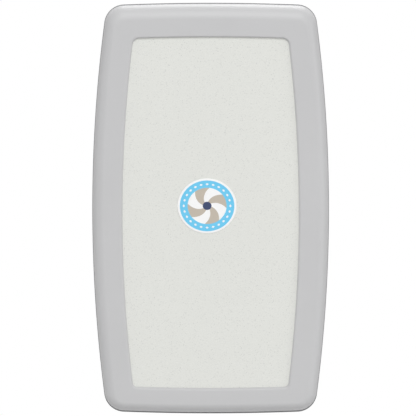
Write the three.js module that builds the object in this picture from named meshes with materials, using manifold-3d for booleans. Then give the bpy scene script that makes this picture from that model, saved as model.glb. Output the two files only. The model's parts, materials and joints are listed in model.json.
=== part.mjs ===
// Wall-mounted baby changing station of the vertical type, modelled closed.
// Millimetres. +X is to the right and +Z is up. The wall is the plane y = 0 and the front faces -Y,
// so a "reach" below is a distance from the wall into the room, and y = -reach.
import * as THREE from 'three';
import { mergeVertices } from 'three/addons/utils/BufferGeometryUtils.js';
import Module from 'manifold-3d';

const wasm = await Module();
wasm.setup();

// Overall size and the bowed outline, which is the same on the bed and the housing
const height = 914;
const width = 527;
const depth = 150;
const sideRadius = 3200;
const endRadius = 5000;
const cornerRadius = 45;

// Layers, as reaches from the wall
const chassisThickness = 2.5;
const housingBack = [14, 18];
const housingFront = 68;
const bedRear = 70;
const trayRim = 71;
const trayFloor = 116;
const traySkin = 4;
const panelThickness = 4;
const lipUnderside = 144;
const fit = 0.3;

// Front frame: width of its rolled edge, of its face and of the visible panel edge
const rollWidth = { side: 26, top: 38, bottom: 22 };
const rollDepth = 30;
const crest = { side: 63.5, top: 72, bottom: 51 };
const panelEdge = { side: 68.5, top: 78, bottom: 59 };
const shell = 5;

// Bed hinge axis, which runs along X
const hingeReach = 50.5;
const hingeHeight = -439;
const hingeRoll = 17.5;
const pinRadius = 6;
const armX = [195, 199];
const armThickness = 3;
const armFlange = 81;
const innerCheekX = [187, 190];
const outerCheekX = [205, 208];
const bayX = [154, 216];

// Gas strut pivots, relative to the hinge axis as [reach, height]: both lie on one circle about it,
// so the strut turns by half of the bed's angle at either end
const strutCircle = 76;
const strutWallReach = -37.5;
const strutBedReach = 62;
const strutX = 171;
const strutRadius = 9;
const strutRodRadius = 4;
const strutBody = 82;
const studRadius = 4;
const eyeX = [161, 181];

// Liner bin and its tilt-out door
const binHalfWidth = 172;
const binBottom = 172;
const binTop = 352;
const binFront = 54;
const binWall = 2.5;
const doorHalfWidth = 166;
const doorPivot = { reach: 47, height: 196 };
const doorFace = [48.5, 52];

// Rubber bumpers in the housing's rim
const bumperZ = 380;
const bumperX = width / 2 - bumperZ ** 2 / (2 * sideRadius) - 14;

// Strap and buckle, across the middle of the tray
const strapWidth = 38;
const strapThickness = 1.6;
const anchorX = 150;
const buckleHalfLength = 27;
const buckleHalfWidth = 24;
const buckleTop = 101;
const camPivot = { x: -12, reach: 106.5 };

const finish = {
  greyPlastic: { color: 0xc6c6c7, roughness: 0.48, metalness: 0 },
  granitePlastic: { color: 0xe0e1dc, roughness: 0.55, metalness: 0 },
  zincSteel: { color: 0xb9bcc0, roughness: 0.38, metalness: 0.9 },
  darkSteel: { color: 0x3b3d40, roughness: 0.42, metalness: 0.6 },
  whiteNylon: { color: 0xe9e8e2, roughness: 0.5, metalness: 0 },
  blackPlastic: { color: 0x26272a, roughness: 0.5, metalness: 0 },
  webbing: { color: 0x3a3e46, roughness: 0.85, metalness: 0 },
  paper: { color: 0xf4f3ee, roughness: 0.9, metalness: 0 },
  rubber: { color: 0x2b2b2b, roughness: 0.8, metalness: 0 },
  badge: { color: 0x8fc8e8, roughness: 0.35, metalness: 0 },
};

const station = new THREE.Group();

// Six times the volume enclosed by a triangle mesh, negative where its faces point inwards
function signedVolume(positions, triangles) {
  let total = 0;
  const corner = [new THREE.Vector3(), new THREE.Vector3(), new THREE.Vector3()];
  for (let i = 0; i < triangles.length; i += 3) {
    corner.forEach((point, k) => point.fromArray(positions, 3 * triangles[i + k]));
    total += corner[0].dot(corner[1].cross(corner[2]));
  }
  return total;
}

// Solid from a closed geometry: shared vertices merged, empty triangles dropped, faces turned outwards
function toSolid(geometry) {
  const bare = new THREE.BufferGeometry();
  bare.setAttribute('position', geometry.getAttribute('position').clone());
  if (geometry.index) bare.setIndex(geometry.index.clone());
  const merged = mergeVertices(bare, 1e-4);
  const positions = merged.getAttribute('position').array;
  const triangles = [];
  for (let i = 0; i < merged.index.count; i += 3) {
    const [a, b, c] = [0, 1, 2].map((k) => merged.index.getX(i + k));
    if (a !== b && b !== c && c !== a) triangles.push(a, b, c);
  }
  if (signedVolume(positions, triangles) < 0) triangles.reverse();
  return new wasm.Manifold(new wasm.Mesh({
    numProp: 3,
    vertProperties: Float32Array.from(positions),
    triVerts: Uint32Array.from(triangles),
  }));
}

// Geometry of a solid, ready for a mesh
function toGeometry(solid) {
  const { vertProperties, triVerts } = solid.getMesh();
  const geometry = new THREE.BufferGeometry();
  geometry.setAttribute('position', new THREE.BufferAttribute(Float32Array.from(vertProperties), 3));
  geometry.setIndex(Array.from(triVerts));
  geometry.computeVertexNormals();
  return geometry;
}

function join(first, ...others) {
  return others.reduce((whole, piece) => whole.add(piece), first);
}

function cut(first, ...others) {
  return others.reduce((whole, piece) => whole.subtract(piece), first);
}

// The same solid mirrored in x, for the left-hand side
function mirrored(solid) {
  return toSolid(toGeometry(solid).applyMatrix4(new THREE.Matrix4().makeScale(-1, 1, 1)));
}

function onBothSides(solids) {
  return solids.flatMap((solid) => [solid, mirrored(solid)]);
}

// Adds one named piece to the station
function addPiece(name, solid, look) {
  const mesh = new THREE.Mesh(toGeometry(solid), new THREE.MeshStandardMaterial(look));
  mesh.name = name;
  station.add(mesh);
}

function addPair(name, solid, look) {
  addPiece(`${name}_right`, solid, look);
  addPiece(`${name}_left`, mirrored(solid), look);
}

function arcPoints(centreX, centreZ, radius, from, to, steps) {
  return Array.from({ length: steps + 1 }, (_, i) => {
    const angle = from + ((to - from) * i) / steps;
    return [centreX + radius * Math.cos(angle), centreZ + radius * Math.sin(angle)];
  });
}

// Fillet between the right side arc and one end arc, both drawn in by their insets:
// its centre lies at a corner radius inside both arcs
function cornerFillet(sideInset, endInset, corner) {
  const sideCentre = width / 2 - sideRadius;
  const endCentre = height / 2 - endRadius;
  const fromSide = sideRadius - sideInset - corner;
  const fromEnd = endRadius - endInset - corner;
  const apart = Math.hypot(sideCentre, endCentre);
  const along = (fromSide ** 2 - fromEnd ** 2 + apart ** 2) / (2 * apart);
  const across = Math.sqrt(fromSide ** 2 - along ** 2);
  const [ux, uz] = [-sideCentre / apart, endCentre / apart];
  const x = sideCentre + along * ux - across * uz;
  const z = along * uz + across * ux;
  return {
    x,
    z,
    corner,
    sideAngle: Math.atan2(z, x - sideCentre),
    endAngle: Math.atan2(z - endCentre, x),
  };
}

// Bowed outline drawn in by the given insets, as [x, z] points anticlockwise seen from the front
function barrelOutline({ side, top = side, bottom = side, topCorner, bottomCorner }) {
  const sideSteps = 6;
  const endSteps = 4;
  const cornerSteps = 5;
  const corner = topCorner ?? Math.max(cornerRadius - side, 6);
  const upper = cornerFillet(side, top, corner);
  const lower = cornerFillet(side, bottom, bottomCorner ?? corner);
  const sideCentre = width / 2 - sideRadius;
  const endCentre = height / 2 - endRadius;
  const right = [
    ...arcPoints(0, -endCentre, endRadius - bottom, -Math.PI / 2, -lower.endAngle, endSteps / 2).slice(1),
    ...arcPoints(lower.x, -lower.z, lower.corner, -lower.endAngle, -lower.sideAngle, cornerSteps)
      .slice(1, -1),
    ...arcPoints(sideCentre, 0, sideRadius - side, -lower.sideAngle, upper.sideAngle, sideSteps),
    ...arcPoints(upper.x, upper.z, upper.corner, upper.sideAngle, upper.endAngle, cornerSteps).slice(1, -1),
    ...arcPoints(0, endCentre, endRadius - top, upper.endAngle, Math.PI / 2, endSteps / 2).slice(0, -1),
  ];
  const left = right.map(([x, z]) => [-x, z]).reverse();
  return [[0, bottom - height / 2], ...right, [0, height / 2 - top], ...left];
}

// Solid through a row of outlines, each at its reach: capped at both ends, or a closed ring
function loft(sections, closed = false) {
  const rings = sections.map((section) => barrelOutline(section));
  const count = rings[0].length;
  const positions = [];
  const triangles = [];
  rings.forEach((ring, i) => ring.forEach(([x, z]) => positions.push(x, -sections[i].reach, z)));
  const bands = closed ? rings.length : rings.length - 1;
  for (let i = 0; i < bands; i += 1) {
    const here = i * count;
    const there = ((i + 1) % rings.length) * count;
    for (let j = 0; j < count; j += 1) {
      const next = (j + 1) % count;
      triangles.push(here + j, here + next, there + next, here + j, there + next, there + j);
    }
  }
  if (!closed) {
    const last = (rings.length - 1) * count;
    const centre = rings.length * count;
    positions.push(0, -sections[0].reach, 0, 0, -sections.at(-1).reach, 0);
    for (let j = 0; j < count; j += 1) {
      const next = (j + 1) % count;
      triangles.push(centre, next, j, centre + 1, last + j, last + next);
    }
  }
  const geometry = new THREE.BufferGeometry();
  geometry.setAttribute('position', new THREE.Float32BufferAttribute(positions, 3));
  geometry.setIndex(triangles);
  return toSolid(geometry);
}

// Section of a loft that is drawn in evenly on all sides
function even(inset, reach, corner) {
  return { side: inset, reach, topCorner: corner };
}

function box(xLow, xHigh, reachLow, reachHigh, zLow, zHigh) {
  const geometry = new THREE.BoxGeometry(xHigh - xLow, reachHigh - reachLow, zHigh - zLow);
  geometry.translate((xLow + xHigh) / 2, -(reachLow + reachHigh) / 2, (zLow + zHigh) / 2);
  return toSolid(geometry);
}

// Polygon with rounded corners; each corner is [x, y] or [x, y, its own radius]
function roundedShape(corners, radius) {
  const shape = new THREE.Shape();
  corners.forEach(([x, y, own], i) => {
    const here = new THREE.Vector2(x, y);
    const before = new THREE.Vector2(...corners.at(i - 1).slice(0, 2)).sub(here);
    const after = new THREE.Vector2(...corners[(i + 1) % corners.length].slice(0, 2)).sub(here);
    const trim = Math.min(own ?? radius, 0.45 * before.length(), 0.45 * after.length());
    const start = here.clone().addScaledVector(before.normalize(), trim);
    const end = here.clone().addScaledVector(after.normalize(), trim);
    if (i === 0) shape.moveTo(start.x, start.y);
    else shape.lineTo(start.x, start.y);
    if (trim > 0.01) shape.quadraticCurveTo(x, y, end.x, end.y);
  });
  shape.closePath();
  return shape;
}

function rectangle(xLow, xHigh, yLow, yHigh, radius) {
  return roundedShape([[xLow, yLow], [xHigh, yLow], [xHigh, yHigh], [xLow, yHigh]], radius);
}

// Round hole, drawn the opposite way round to its outline
function roundHole(shape, x, y, radius) {
  const clockwise = !THREE.ShapeUtils.isClockWise(shape.getPoints());
  shape.holes.push(new THREE.Path().absarc(x, y, radius, 0, 2 * Math.PI, clockwise));
}

// Plate parallel to the wall, from a shape in (x, z)
function frontPlate(shape, reachLow, reachHigh, curveSegments = 4) {
  const options = { depth: reachHigh - reachLow, bevelEnabled: false, curveSegments };
  const geometry = new THREE.ExtrudeGeometry(shape, options);
  geometry.rotateX(Math.PI / 2);
  geometry.translate(0, -reachLow, 0);
  return toSolid(geometry);
}

// Plate square to the wall and upright, from a shape in (reach, z)
function sidePlate(shape, xLow, xHigh, curveSegments = 4) {
  const options = { depth: xHigh - xLow, bevelEnabled: false, curveSegments };
  const geometry = new THREE.ExtrudeGeometry(shape, options);
  const axes = [new THREE.Vector3(0, -1, 0), new THREE.Vector3(0, 0, 1), new THREE.Vector3(-1, 0, 0)];
  geometry.applyMatrix4(new THREE.Matrix4().makeBasis(...axes).setPosition(xHigh, 0, 0));
  return toSolid(geometry);
}

// Turned piece about the line through origin along axis, from a profile of [radius, distance] points
function turned(profile, origin, axis, segments = 12) {
  const points = profile.map(([radius, along]) => new THREE.Vector2(radius, along));
  const geometry = new THREE.LatheGeometry(points, segments);
  geometry.applyQuaternion(new THREE.Quaternion().setFromUnitVectors(new THREE.Vector3(0, 1, 0), axis));
  geometry.translate(origin.x, origin.y, origin.z);
  return toSolid(geometry);
}

const alongX = new THREE.Vector3(1, 0, 0);
const alongZ = new THREE.Vector3(0, 0, 1);
const intoRoom = new THREE.Vector3(0, -1, 0);

function place(x, reach, z) {
  return new THREE.Vector3(x, -reach, z);
}

// Round bar along X between two x values
function barX(radius, xLow, xHigh, reach, z, segments = 12) {
  const profile = [[0, xLow], [radius, xLow], [radius, xHigh], [0, xHigh]];
  return turned(profile, place(0, reach, z), alongX, segments);
}

// Point given relative to the bed hinge, as [reach, z] from the wall
function fromHinge(reach, z) {
  return [hingeReach + reach, hingeHeight + z];
}

function hingeShape(corners, radius) {
  return roundedShape(corners.map(([reach, z, own]) => [...fromHinge(reach, z), own]), radius);
}

const strutWall = fromHinge(strutWallReach, Math.sqrt(strutCircle ** 2 - strutWallReach ** 2));
const strutBed = fromHinge(strutBedReach, Math.sqrt(strutCircle ** 2 - strutBedReach ** 2));

// Inset of the frame's rolled edge at an angle round the roll, from 0 at its side to 90 degrees in front
function rollSection(angle, thickness) {
  const turn = THREE.MathUtils.degToRad(angle);
  const section = { reach: depth - rollDepth + (rollDepth - thickness) * Math.sin(turn) };
  for (const edge of Object.keys(rollWidth)) {
    section[edge] = thickness + (rollWidth[edge] - thickness) * (1 - Math.cos(turn));
  }
  return section;
}

function around(edges, extra, reach, topCorner, bottomCorner) {
  const section = { reach, topCorner, bottomCorner };
  for (const edge of Object.keys(edges)) section[edge] = edges[edge] + extra;
  return section;
}

// Light grey front shell of the bed: side wall, rolled edge, flat face and drafted lip round the panel
function bedFrame() {
  const outerRoll = [0, 18, 36, 54, 72, 90].map((angle) => rollSection(angle, 0));
  const innerRoll = [90, 60, 30, 0].map((angle) => rollSection(angle, shell));
  innerRoll[0].reach = lipUnderside;
  return loft([
    even(1.8, bedRear),
    even(0.5, bedRear + 0.9),
    even(0, bedRear + 3),
    ...outerRoll,
    around(crest, -1, depth, 20, 16),
    around(crest, 0.3, depth - 0.5, 18, 14),
    around(panelEdge, -0.4, depth - 4.4, 12.5, 9),
    around(panelEdge, 0, lipUnderside + 0.8, 12, 8),
    around(panelEdge, 0, lipUnderside, 12, 8),
    ...innerRoll,
    even(shell, 84),
    even(9, 79),
    even(9, trayRim + traySkin + fit),
    even(shell, trayRim + traySkin + fit),
    even(shell, bedRear + 1.2),
    even(3.6, bedRear),
  ], true);
}

// Off-white plate behind the lip, with an eased edge and stiffening ribs on its hidden side
function frontPanel() {
  const front = lipUnderside - fit;
  const back = front - panelThickness;
  const plate = loft([
    around(panelEdge, -9, back, 20, 16),
    around(panelEdge, -10, back + 0.8, 21, 17),
    around(panelEdge, -10, front - 0.6, 21, 17),
    around(panelEdge, -9.2, front, 20, 16),
  ]);
  const ribs = [-240, -80, 80, 240].map((z) => box(-150, 150, back - 8, back + 1, z - 1.5, z + 1.5));
  const posts = [-90, 90].map((x) => box(x - 1.5, x + 1.5, back - 8, back + 1, -300, 300));
  return join(plate, ...ribs, ...posts);
}

// Round badge on the panel, a shallow dome over an oval
function frontBadge() {
  const centre = place(-7.9, lipUnderside, 4.9);
  const profile = [[0, 0], [64, 0], [65.5, 0.6], [64, 1.1], [0, 1.5]];
  const geometry = new THREE.LatheGeometry(profile.map((point) => new THREE.Vector2(...point)), 32);
  geometry.rotateX(Math.PI);
  geometry.scale(1, 1, 61 / 65.5);
  geometry.translate(centre.x, centre.y, centre.z);
  return toSolid(geometry);
}

// Sections of the tray's upper face from its rim to its floor; the head end slopes further than the sides
function traySections(offset) {
  const slope = [
    { side: 32, top: 34, bottom: 32, reach: trayRim, topCorner: 34 },
    { side: 42, top: 46, bottom: 44, reach: trayRim + 2.4, topCorner: 38 },
    { side: 52, top: 58, bottom: 56, reach: trayRim + 9, topCorner: 44 },
    { side: 64, top: 72, bottom: 70, reach: trayRim + 21, topCorner: 52 },
    { side: 76, top: 86, bottom: 84, reach: trayRim + 33, topCorner: 58 },
    { side: 88, top: 100, bottom: 98, reach: trayRim + 39.5, topCorner: 62 },
    { side: 104, top: 118, bottom: 116, reach: trayFloor - 2.6, topCorner: 62 },
    { side: 160, top: 200, bottom: 200, reach: trayFloor, topCorner: 60 },
  ];
  return slope.map((section) => ({ ...section, reach: section.reach + offset }));
}

// Concave bed: a thin moulded skin with a flat rim, bays for the arms and bosses that seat them
function changingTray() {
  const upper = traySections(0);
  const under = traySections(traySkin).reverse();
  const skin = loft([
    ...under,
    even(6.2, trayRim + traySkin),
    even(5.4, trayRim + traySkin - 0.8),
    even(5.4, trayRim + 1),
    even(6.6, trayRim),
    ...upper,
  ].reverse());
  const bay = rectangle(bayX[0], 207, hingeHeight, hingeHeight + 98, 10);
  const strapSlot = rectangle(anchorX + 21, anchorX + 25, -21, 21, 2);
  const rightCuts = [frontPlate(bay, trayRim - 5, 130), frontPlate(strapSlot, trayFloor - 20, 130)];
  const behindSkin = loft([{ ...upper[0], reach: 140 }, ...traySections(1)]);
  const flangeReach = hingeReach + armFlange - armThickness - fit;
  const bosses = [-240, -150, -70].map((z) => {
    const profile = [[0, trayRim], [10, trayRim], [7, flangeReach], [3, flangeReach], [3, 118], [0, 118]];
    return turned(profile, place(186, 0, z), intoRoom, 12).intersect(behindSkin);
  });
  return join(cut(skin, ...onBothSides(rightCuts)), ...onBothSides(bosses));
}

// Steel arm that carries the bed: knuckle, heel stop behind it and a flanged bar up inside the bed
function bedArm() {
  const plate = hingeShape([
    [-26, -6, 3], [-26, 6, 3], [-16, 6, 2], [3, 11.5, 6], [18, 13, 8], [36, 72], [50, 108, 30],
    [62, 160, 30], [64, 400, 5], [armFlange, 400, 5], [armFlange, 150, 30], [80, 86, 20], [74, 38, 16],
    [54, 20, 16], [24, 5, 10], [13, -5, 6], [5, -11, 5], [-8, -10.5, 5], [-11, -6, 2],
  ], 12);
  roundHole(plate, ...fromHinge(0, 0), 9.2);
  roundHole(plate, ...strutBed, studRadius + 0.8);
  for (const z of [150, 250, 350]) roundHole(plate, ...fromHinge(72, z), 4.5);
  const flangeReach = hingeReach + armFlange;
  const flangeHeight = [hingeHeight + 150, hingeHeight + 398];
  const flange = box(176, 197, flangeReach - armThickness, flangeReach, ...flangeHeight);
  return join(sidePlate(plate, ...armX), flange);
}

// Steel cheek of the chassis: a gusset from the back plate to the hinge pin
function cheekShape(withStud) {
  const cheek = hingeShape([
    [-48.5, 26, 0], [-48.5, 88, 0], [-30, 88], [0, 34, 14], [15, 31, 5], [15, 4], [12.5, -5],
    [4, -12.5], [-9, -8], [-22, 16], [-34, 26],
  ], 8);
  roundHole(cheek, ...fromHinge(0, 0), pinRadius + 1);
  if (withStud) roundHole(cheek, ...strutWall, studRadius + 0.8);
  return cheek;
}

const screwPlaces = [-300, 310].flatMap((z) => [-100, 100].map((x) => [x, z]));

// Pressed steel chassis against the wall: back plate, edge flanges, hinge cheeks and heel stops
function mountingChassis() {
  const foot = 211;
  const mast = 140;
  const top = 345;
  const flangeReach = 12;
  const plate = roundedShape([
    [-foot, -412], [foot, -412], [foot, -346], [mast, -318, 30], [mast, top], [-mast, top],
    [-mast, -318, 30], [-foot, -346],
  ], 10);
  for (const [x, z] of screwPlaces) roundHole(plate, x, z, 5);
  for (const z of [-150, 165]) {
    const slot = rectangle(-36, 36, z - 14, z + 14, 14);
    plate.holes.push(new THREE.Path(slot.getPoints(4)));
  }
  const pieces = [frontPlate(plate, 0, chassisThickness)];
  pieces.push(box(-125, 125, 1, flangeReach, top - 2.5, top - 0.5));
  const [stopReach, stopHeight] = fromHinge(6.5, 17);
  pieces.push(...onBothSides([
    box(mast - 2, mast, 1, flangeReach, -280, 330),
    sidePlate(cheekShape(true), ...innerCheekX),
    sidePlate(cheekShape(false), ...outerCheekX),
    box(armX[0] - 1, outerCheekX[0] + 1, stopReach, stopReach + 6, stopHeight, stopHeight + 10),
  ]));
  return join(...pieces);
}

// Moulded wall housing: a deep tray with a thick rim, ribbed behind, notched for the hinges
function wallHousing() {
  const rim = [0, 30, 60, 90].map((angle) => {
    const turn = THREE.MathUtils.degToRad(angle);
    return even(2.5 + 8 * (1 - Math.cos(turn)), housingFront - 8 + 8 * Math.sin(turn));
  });
  const outside = loft([even(8, 0.4), even(4, 20), ...rim]);
  const inside = (side, bottom, reach, corner) => ({ side, top: side, bottom, reach, topCorner: corner });
  const front = loft([
    inside(27, 11, housingBack[1], 24),
    inside(23, 8.5, housingBack[1] + 4, 26),
    inside(18, 7.5, housingFront + 2, 27),
  ]);
  const rear = loft([inside(15, 9, -1, 26), inside(18, 10, housingBack[0], 24)]);
  const ribEnd = housingBack[0] + 1;
  const sideRibs = [-250, -125, 0, 125, 250].map((z) => box(144, 250, 0.6, ribEnd, z - 1.5, z + 1.5));
  const ribs = onBothSides([
    ...sideRibs,
    box(68.5, 71.5, chassisThickness + fit, ribEnd, -310, 336),
    box(118.5, 121.5, 0.6, ribEnd, 352, 446),
  ]);
  const bay = rectangle(...bayX, hingeHeight - 40, hingeHeight + 96, 8);
  const gap = rectangle(...bayX, hingeHeight + 8, hingeHeight + 96, 8);
  const seat = turned([[0, 64], [3.5, 64], [3.5, 70], [0, 70]], place(bumperX, 0, bumperZ), intoRoom, 12);
  const cuts = onBothSides([frontPlate(bay, 21, housingFront + 4), frontPlate(gap, 10, 40), seat]);
  const [rollReach, rollHeight] = fromHinge(0, 0);
  const relief = new THREE.Shape();
  relief.moveTo(rollReach + 60, rollHeight);
  relief.lineTo(rollReach + hingeRoll, rollHeight);
  relief.absarc(rollReach, rollHeight, hingeRoll, 0, -Math.PI / 2, true);
  relief.lineTo(rollReach, rollHeight - 60);
  relief.lineTo(rollReach + 60, rollHeight - 60);
  const fingerScoop = rectangle(-70, 70, height / 2 - 14, height / 2 + 30, 10);
  cuts.push(sidePlate(relief, -300, 300, 6), frontPlate(fingerScoop, 52, housingFront + 4));
  const ribbed = join(cut(outside, front, rear), ...ribs.map((rib) => rib.intersect(outside)));
  return cut(ribbed, ...cuts);
}

// Rubber bumper in the housing's rim, which the closed bed rests against
function bumper() {
  const profile = [[0, 64.3], [3, 64.3], [3, 68.3], [3.6, 68.3], [3.6, 69.6], [2.6, 70.4], [0, 70.4]];
  return turned(profile, place(bumperX, 0, bumperZ), intoRoom, 12);
}

// Headed steel pin on the hinge axis, through both cheeks and the arm's bush
function hingePin() {
  const head = innerCheekX[0] - fit;
  const profile = [
    [0, head - 4], [7.5, head - 4], [9, head - 3], [9, head], [pinRadius, head],
    [pinRadius, 212], [pinRadius - 1, 213], [0, 213],
  ];
  return turned(profile, place(0, ...fromHinge(0, 0)), alongX);
}

function pinRing() {
  const start = outerCheekX[1] + fit;
  const profile = [[6.4, start], [9, start], [9, start + 1.6], [6.4, start + 1.6], [6.4, start]];
  return turned(profile, place(0, ...fromHinge(0, 0)), alongX);
}

// Flanged nylon bush between the arm and the pin
function hingeBush() {
  const [low, high] = [innerCheekX[1] + fit, outerCheekX[0] - fit];
  const bore = pinRadius + 0.7;
  const profile = [
    [bore, low], [11, low], [11, armX[0] - fit], [8.1, armX[0] - fit], [8.1, high], [bore, high], [bore, low],
  ];
  return turned(profile, place(0, ...fromHinge(0, 0)), alongX);
}

// Shouldered stud that a strut's eye turns on, from its head behind the plate to its end ring
function strutStud(plateX, pivot) {
  const profile = [
    [0, eyeX[0] - 2.6], [6.2, eyeX[0] - 2.6], [6.2, eyeX[0] - fit], [studRadius, eyeX[0] - fit],
    [studRadius, eyeX[1] + fit], [7, eyeX[1] + fit], [7, plateX[0] - fit], [studRadius, plateX[0] - fit],
    [studRadius, plateX[1] + fit], [7, plateX[1] + fit], [7, plateX[1] + 3], [0, plateX[1] + 3],
  ];
  return turned(profile, place(0, ...pivot), alongX, 10);
}

// Direction of the closed strut from its wall pivot to its bed pivot, and the distance between them
const strutLine = place(strutX, ...strutBed).sub(place(strutX, ...strutWall));
const strutClosed = strutLine.length();
strutLine.normalize();

function strutEye(pivot) {
  return barX(8, ...eyeX, ...pivot);
}

function eyeBore(pivot) {
  return barX(studRadius + 0.6, eyeX[0] - 1, eyeX[1] + 1, ...pivot);
}

// Gas cylinder with its eye on the wall pivot and a bore that the rod slides in
function strutCylinder() {
  const bore = strutRodRadius + 0.9;
  const profile = [
    [0, 6], [6, 6], [strutRadius, 11], [strutRadius, strutBody - 2], [strutRadius - 2, strutBody],
    [bore, strutBody], [bore, 14], [0, 14],
  ];
  const tube = turned(profile, place(strutX, ...strutWall), strutLine);
  return cut(join(tube, strutEye(strutWall)), eyeBore(strutWall));
}

// Rod with its eye on the bed pivot
function strutRod() {
  const length = strutClosed - 15;
  const profile = [
    [0, 5], [5.5, 5], [5.5, 9], [strutRodRadius, 10], [strutRodRadius, length - 1],
    [strutRodRadius - 1, length], [0, length],
  ];
  const stem = turned(profile, place(strutX, ...strutBed), strutLine.clone().negate());
  return cut(join(stem, strutEye(strutBed)), eyeBore(strutBed));
}

// Lag screw with a hexagon head and washer, cut off at the wall
function wallScrew(x, z) {
  const back = chassisThickness + fit;
  const shank = turned([
    [0, 0], [3.9, 0], [3.9, back], [10, back], [10, back + 1.4], [7, back + 1.5], [0, back + 1.5],
  ], place(x, 0, z), intoRoom, 8);
  const head = turned([[0, back + 1], [7.2, back + 1], [7.2, back + 6], [5.8, back + 6.8], [0, back + 6.8]],
    place(x, 0, z), intoRoom, 6);
  return join(shank, head);
}

// Open-fronted bin that holds the paper liners, with a front lip and hinge eyes for its door
function linerBin() {
  const back = housingBack[1] + fit;
  const outer = box(-binHalfWidth, binHalfWidth, back, binFront, binBottom, binTop);
  const inner = binHalfWidth - binWall;
  const hollow = box(-inner, inner, back + binWall, binFront + 5, binBottom + binWall, binTop + 5);
  const lip = box(-binHalfWidth, binHalfWidth, binFront - 2.2, binFront, binBottom, binBottom + 8);
  const thumbNotch = rectangle(-38, 38, binBottom - 20, binBottom + 30, 14);
  const taper = roundedShape([
    [binFront - 14, binTop + 1], [binFront + 4, binTop + 1], [binFront + 4, binBottom + 90],
  ], 0);
  return cut(
    join(cut(outer, hollow), lip),
    frontPlate(thumbNotch, back + 18, binFront + 2),
    sidePlate(taper, -binHalfWidth - 2, binHalfWidth + 2),
    barX(4.6, -binHalfWidth - 2, binHalfWidth + 2, doorPivot.reach, doorPivot.height, 12),
  );
}

// Tilt-out door of the bin: a plate with returned edges, a finger scoop and two trunnions
function linerDoor() {
  const bottom = doorPivot.height - 8;
  const top = binTop - 3;
  const face = rectangle(-doorHalfWidth, doorHalfWidth, bottom, top, 8);
  const plate = frontPlate(face, ...doorFace);
  const scoop = frontPlate(rectangle(-45, 45, top - 16, top + 20, 14), doorFace[0] - 10, doorFace[1] + 5);
  const pieces = [plate];
  for (const side of [-1, 1]) {
    const x = side * (doorHalfWidth - 2);
    const profile = roundedShape([
      [doorFace[0] - 8, bottom + 2], [doorFace[0] + 1, bottom + 1], [doorFace[0] + 1, top - 10],
      [doorFace[0] - 3, top - 10],
    ], 3);
    pieces.push(sidePlate(profile, x - 1.2, x + 1.2));
    const [low, high] = [x, side * (binHalfWidth - 0.6)].sort((a, b) => a - b);
    pieces.push(barX(4, low, high, doorPivot.reach, doorPivot.height, 12));
  }
  for (const z of [bottom + 45, bottom + 90]) {
    pieces.push(box(-doorHalfWidth + 1, doorHalfWidth - 1, doorFace[0] - 2.5, doorFace[0] + 1, z, z + 2));
  }
  const border = (inset, radius) => {
    const half = doorHalfWidth - inset;
    return rectangle(-half, half, bottom + inset, top - 16 - inset, radius);
  };
  const frame = cut(
    frontPlate(border(6, 8), doorFace[1] - 0.5, doorFace[1] + 1.2),
    frontPlate(border(12, 6), doorFace[1] - 1, doorFace[1] + 2),
  );
  return cut(join(...pieces, frame), scoop);
}

// Stack of folded paper liners standing in the bin
function linerStack() {
  const bottom = binBottom + binWall + fit;
  const profile = roundedShape([
    [22, bottom, 5], [43, bottom, 7], [43, bottom + 150, 3], [40, bottom + 156, 3], [22, bottom + 156, 3],
  ], 4);
  return sidePlate(profile, -158, 158);
}

// Bag hook: a screwed base with a curled arm
function bagHook() {
  const foot = housingBack[1] + fit;
  const x = 105;
  const base = frontPlate(rectangle(x - 17, x + 17, 34, 106, 10), foot, foot + 4);
  const arm = roundedShape([
    [foot + 2, 52, 0], [foot + 22, 44, 12], [foot + 40, 52, 14], [foot + 44, 84, 4], [foot + 38, 84, 3],
    [foot + 33, 60, 10], [foot + 22, 55, 8], [foot + 2, 76, 0],
  ], 4);
  return join(base, sidePlate(arm, x - 8, x + 8));
}

// Reach of the tray's upper face across the middle of the bed
function trayReachAt(x) {
  const inset = width / 2 - Math.abs(x);
  const sections = traySections(0);
  const next = sections.findIndex((section) => section.side >= inset);
  if (next < 1) return trayFloor;
  const [low, high] = [sections[next - 1], sections[next]];
  return THREE.MathUtils.mapLinear(inset, low.side, high.side, low.reach, high.reach);
}

// Half of the safety strap, a flat band lying along the tray from its anchor to the buckle
function strapHalf() {
  const stations = [buckleHalfLength + fit, 60, 100, 125, anchorX - 8];
  const lift = 1;
  const over = stations.map((x) => [x, trayReachAt(x) - lift - strapThickness]);
  const under = stations.map((x) => [x, trayReachAt(x) - lift]).reverse();
  const shape = new THREE.Shape([...over, ...under].map(([x, reach]) => new THREE.Vector2(x, -reach)));
  const options = { depth: strapWidth, bevelEnabled: false };
  const geometry = new THREE.ExtrudeGeometry(shape, options);
  geometry.translate(0, 0, -strapWidth / 2);
  return toSolid(geometry);
}

// Steel loop that the strap's end is sewn round, screwed to the tray
function strapAnchor() {
  const floor = trayReachAt(anchorX + 13) - fit;
  const base = frontPlate(rectangle(anchorX - 6, anchorX + 13, -24, 24, 4), floor - 2, floor);
  const slot = frontPlate(rectangle(anchorX - 3, anchorX + 3, -19.5, 19.5, 1), floor - 6, floor + 2);
  const bar = frontPlate(rectangle(anchorX - 6, anchorX + 9, -24, 24, 4), floor - 3.6, floor - 1);
  return cut(join(base, bar), slot);
}

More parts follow.
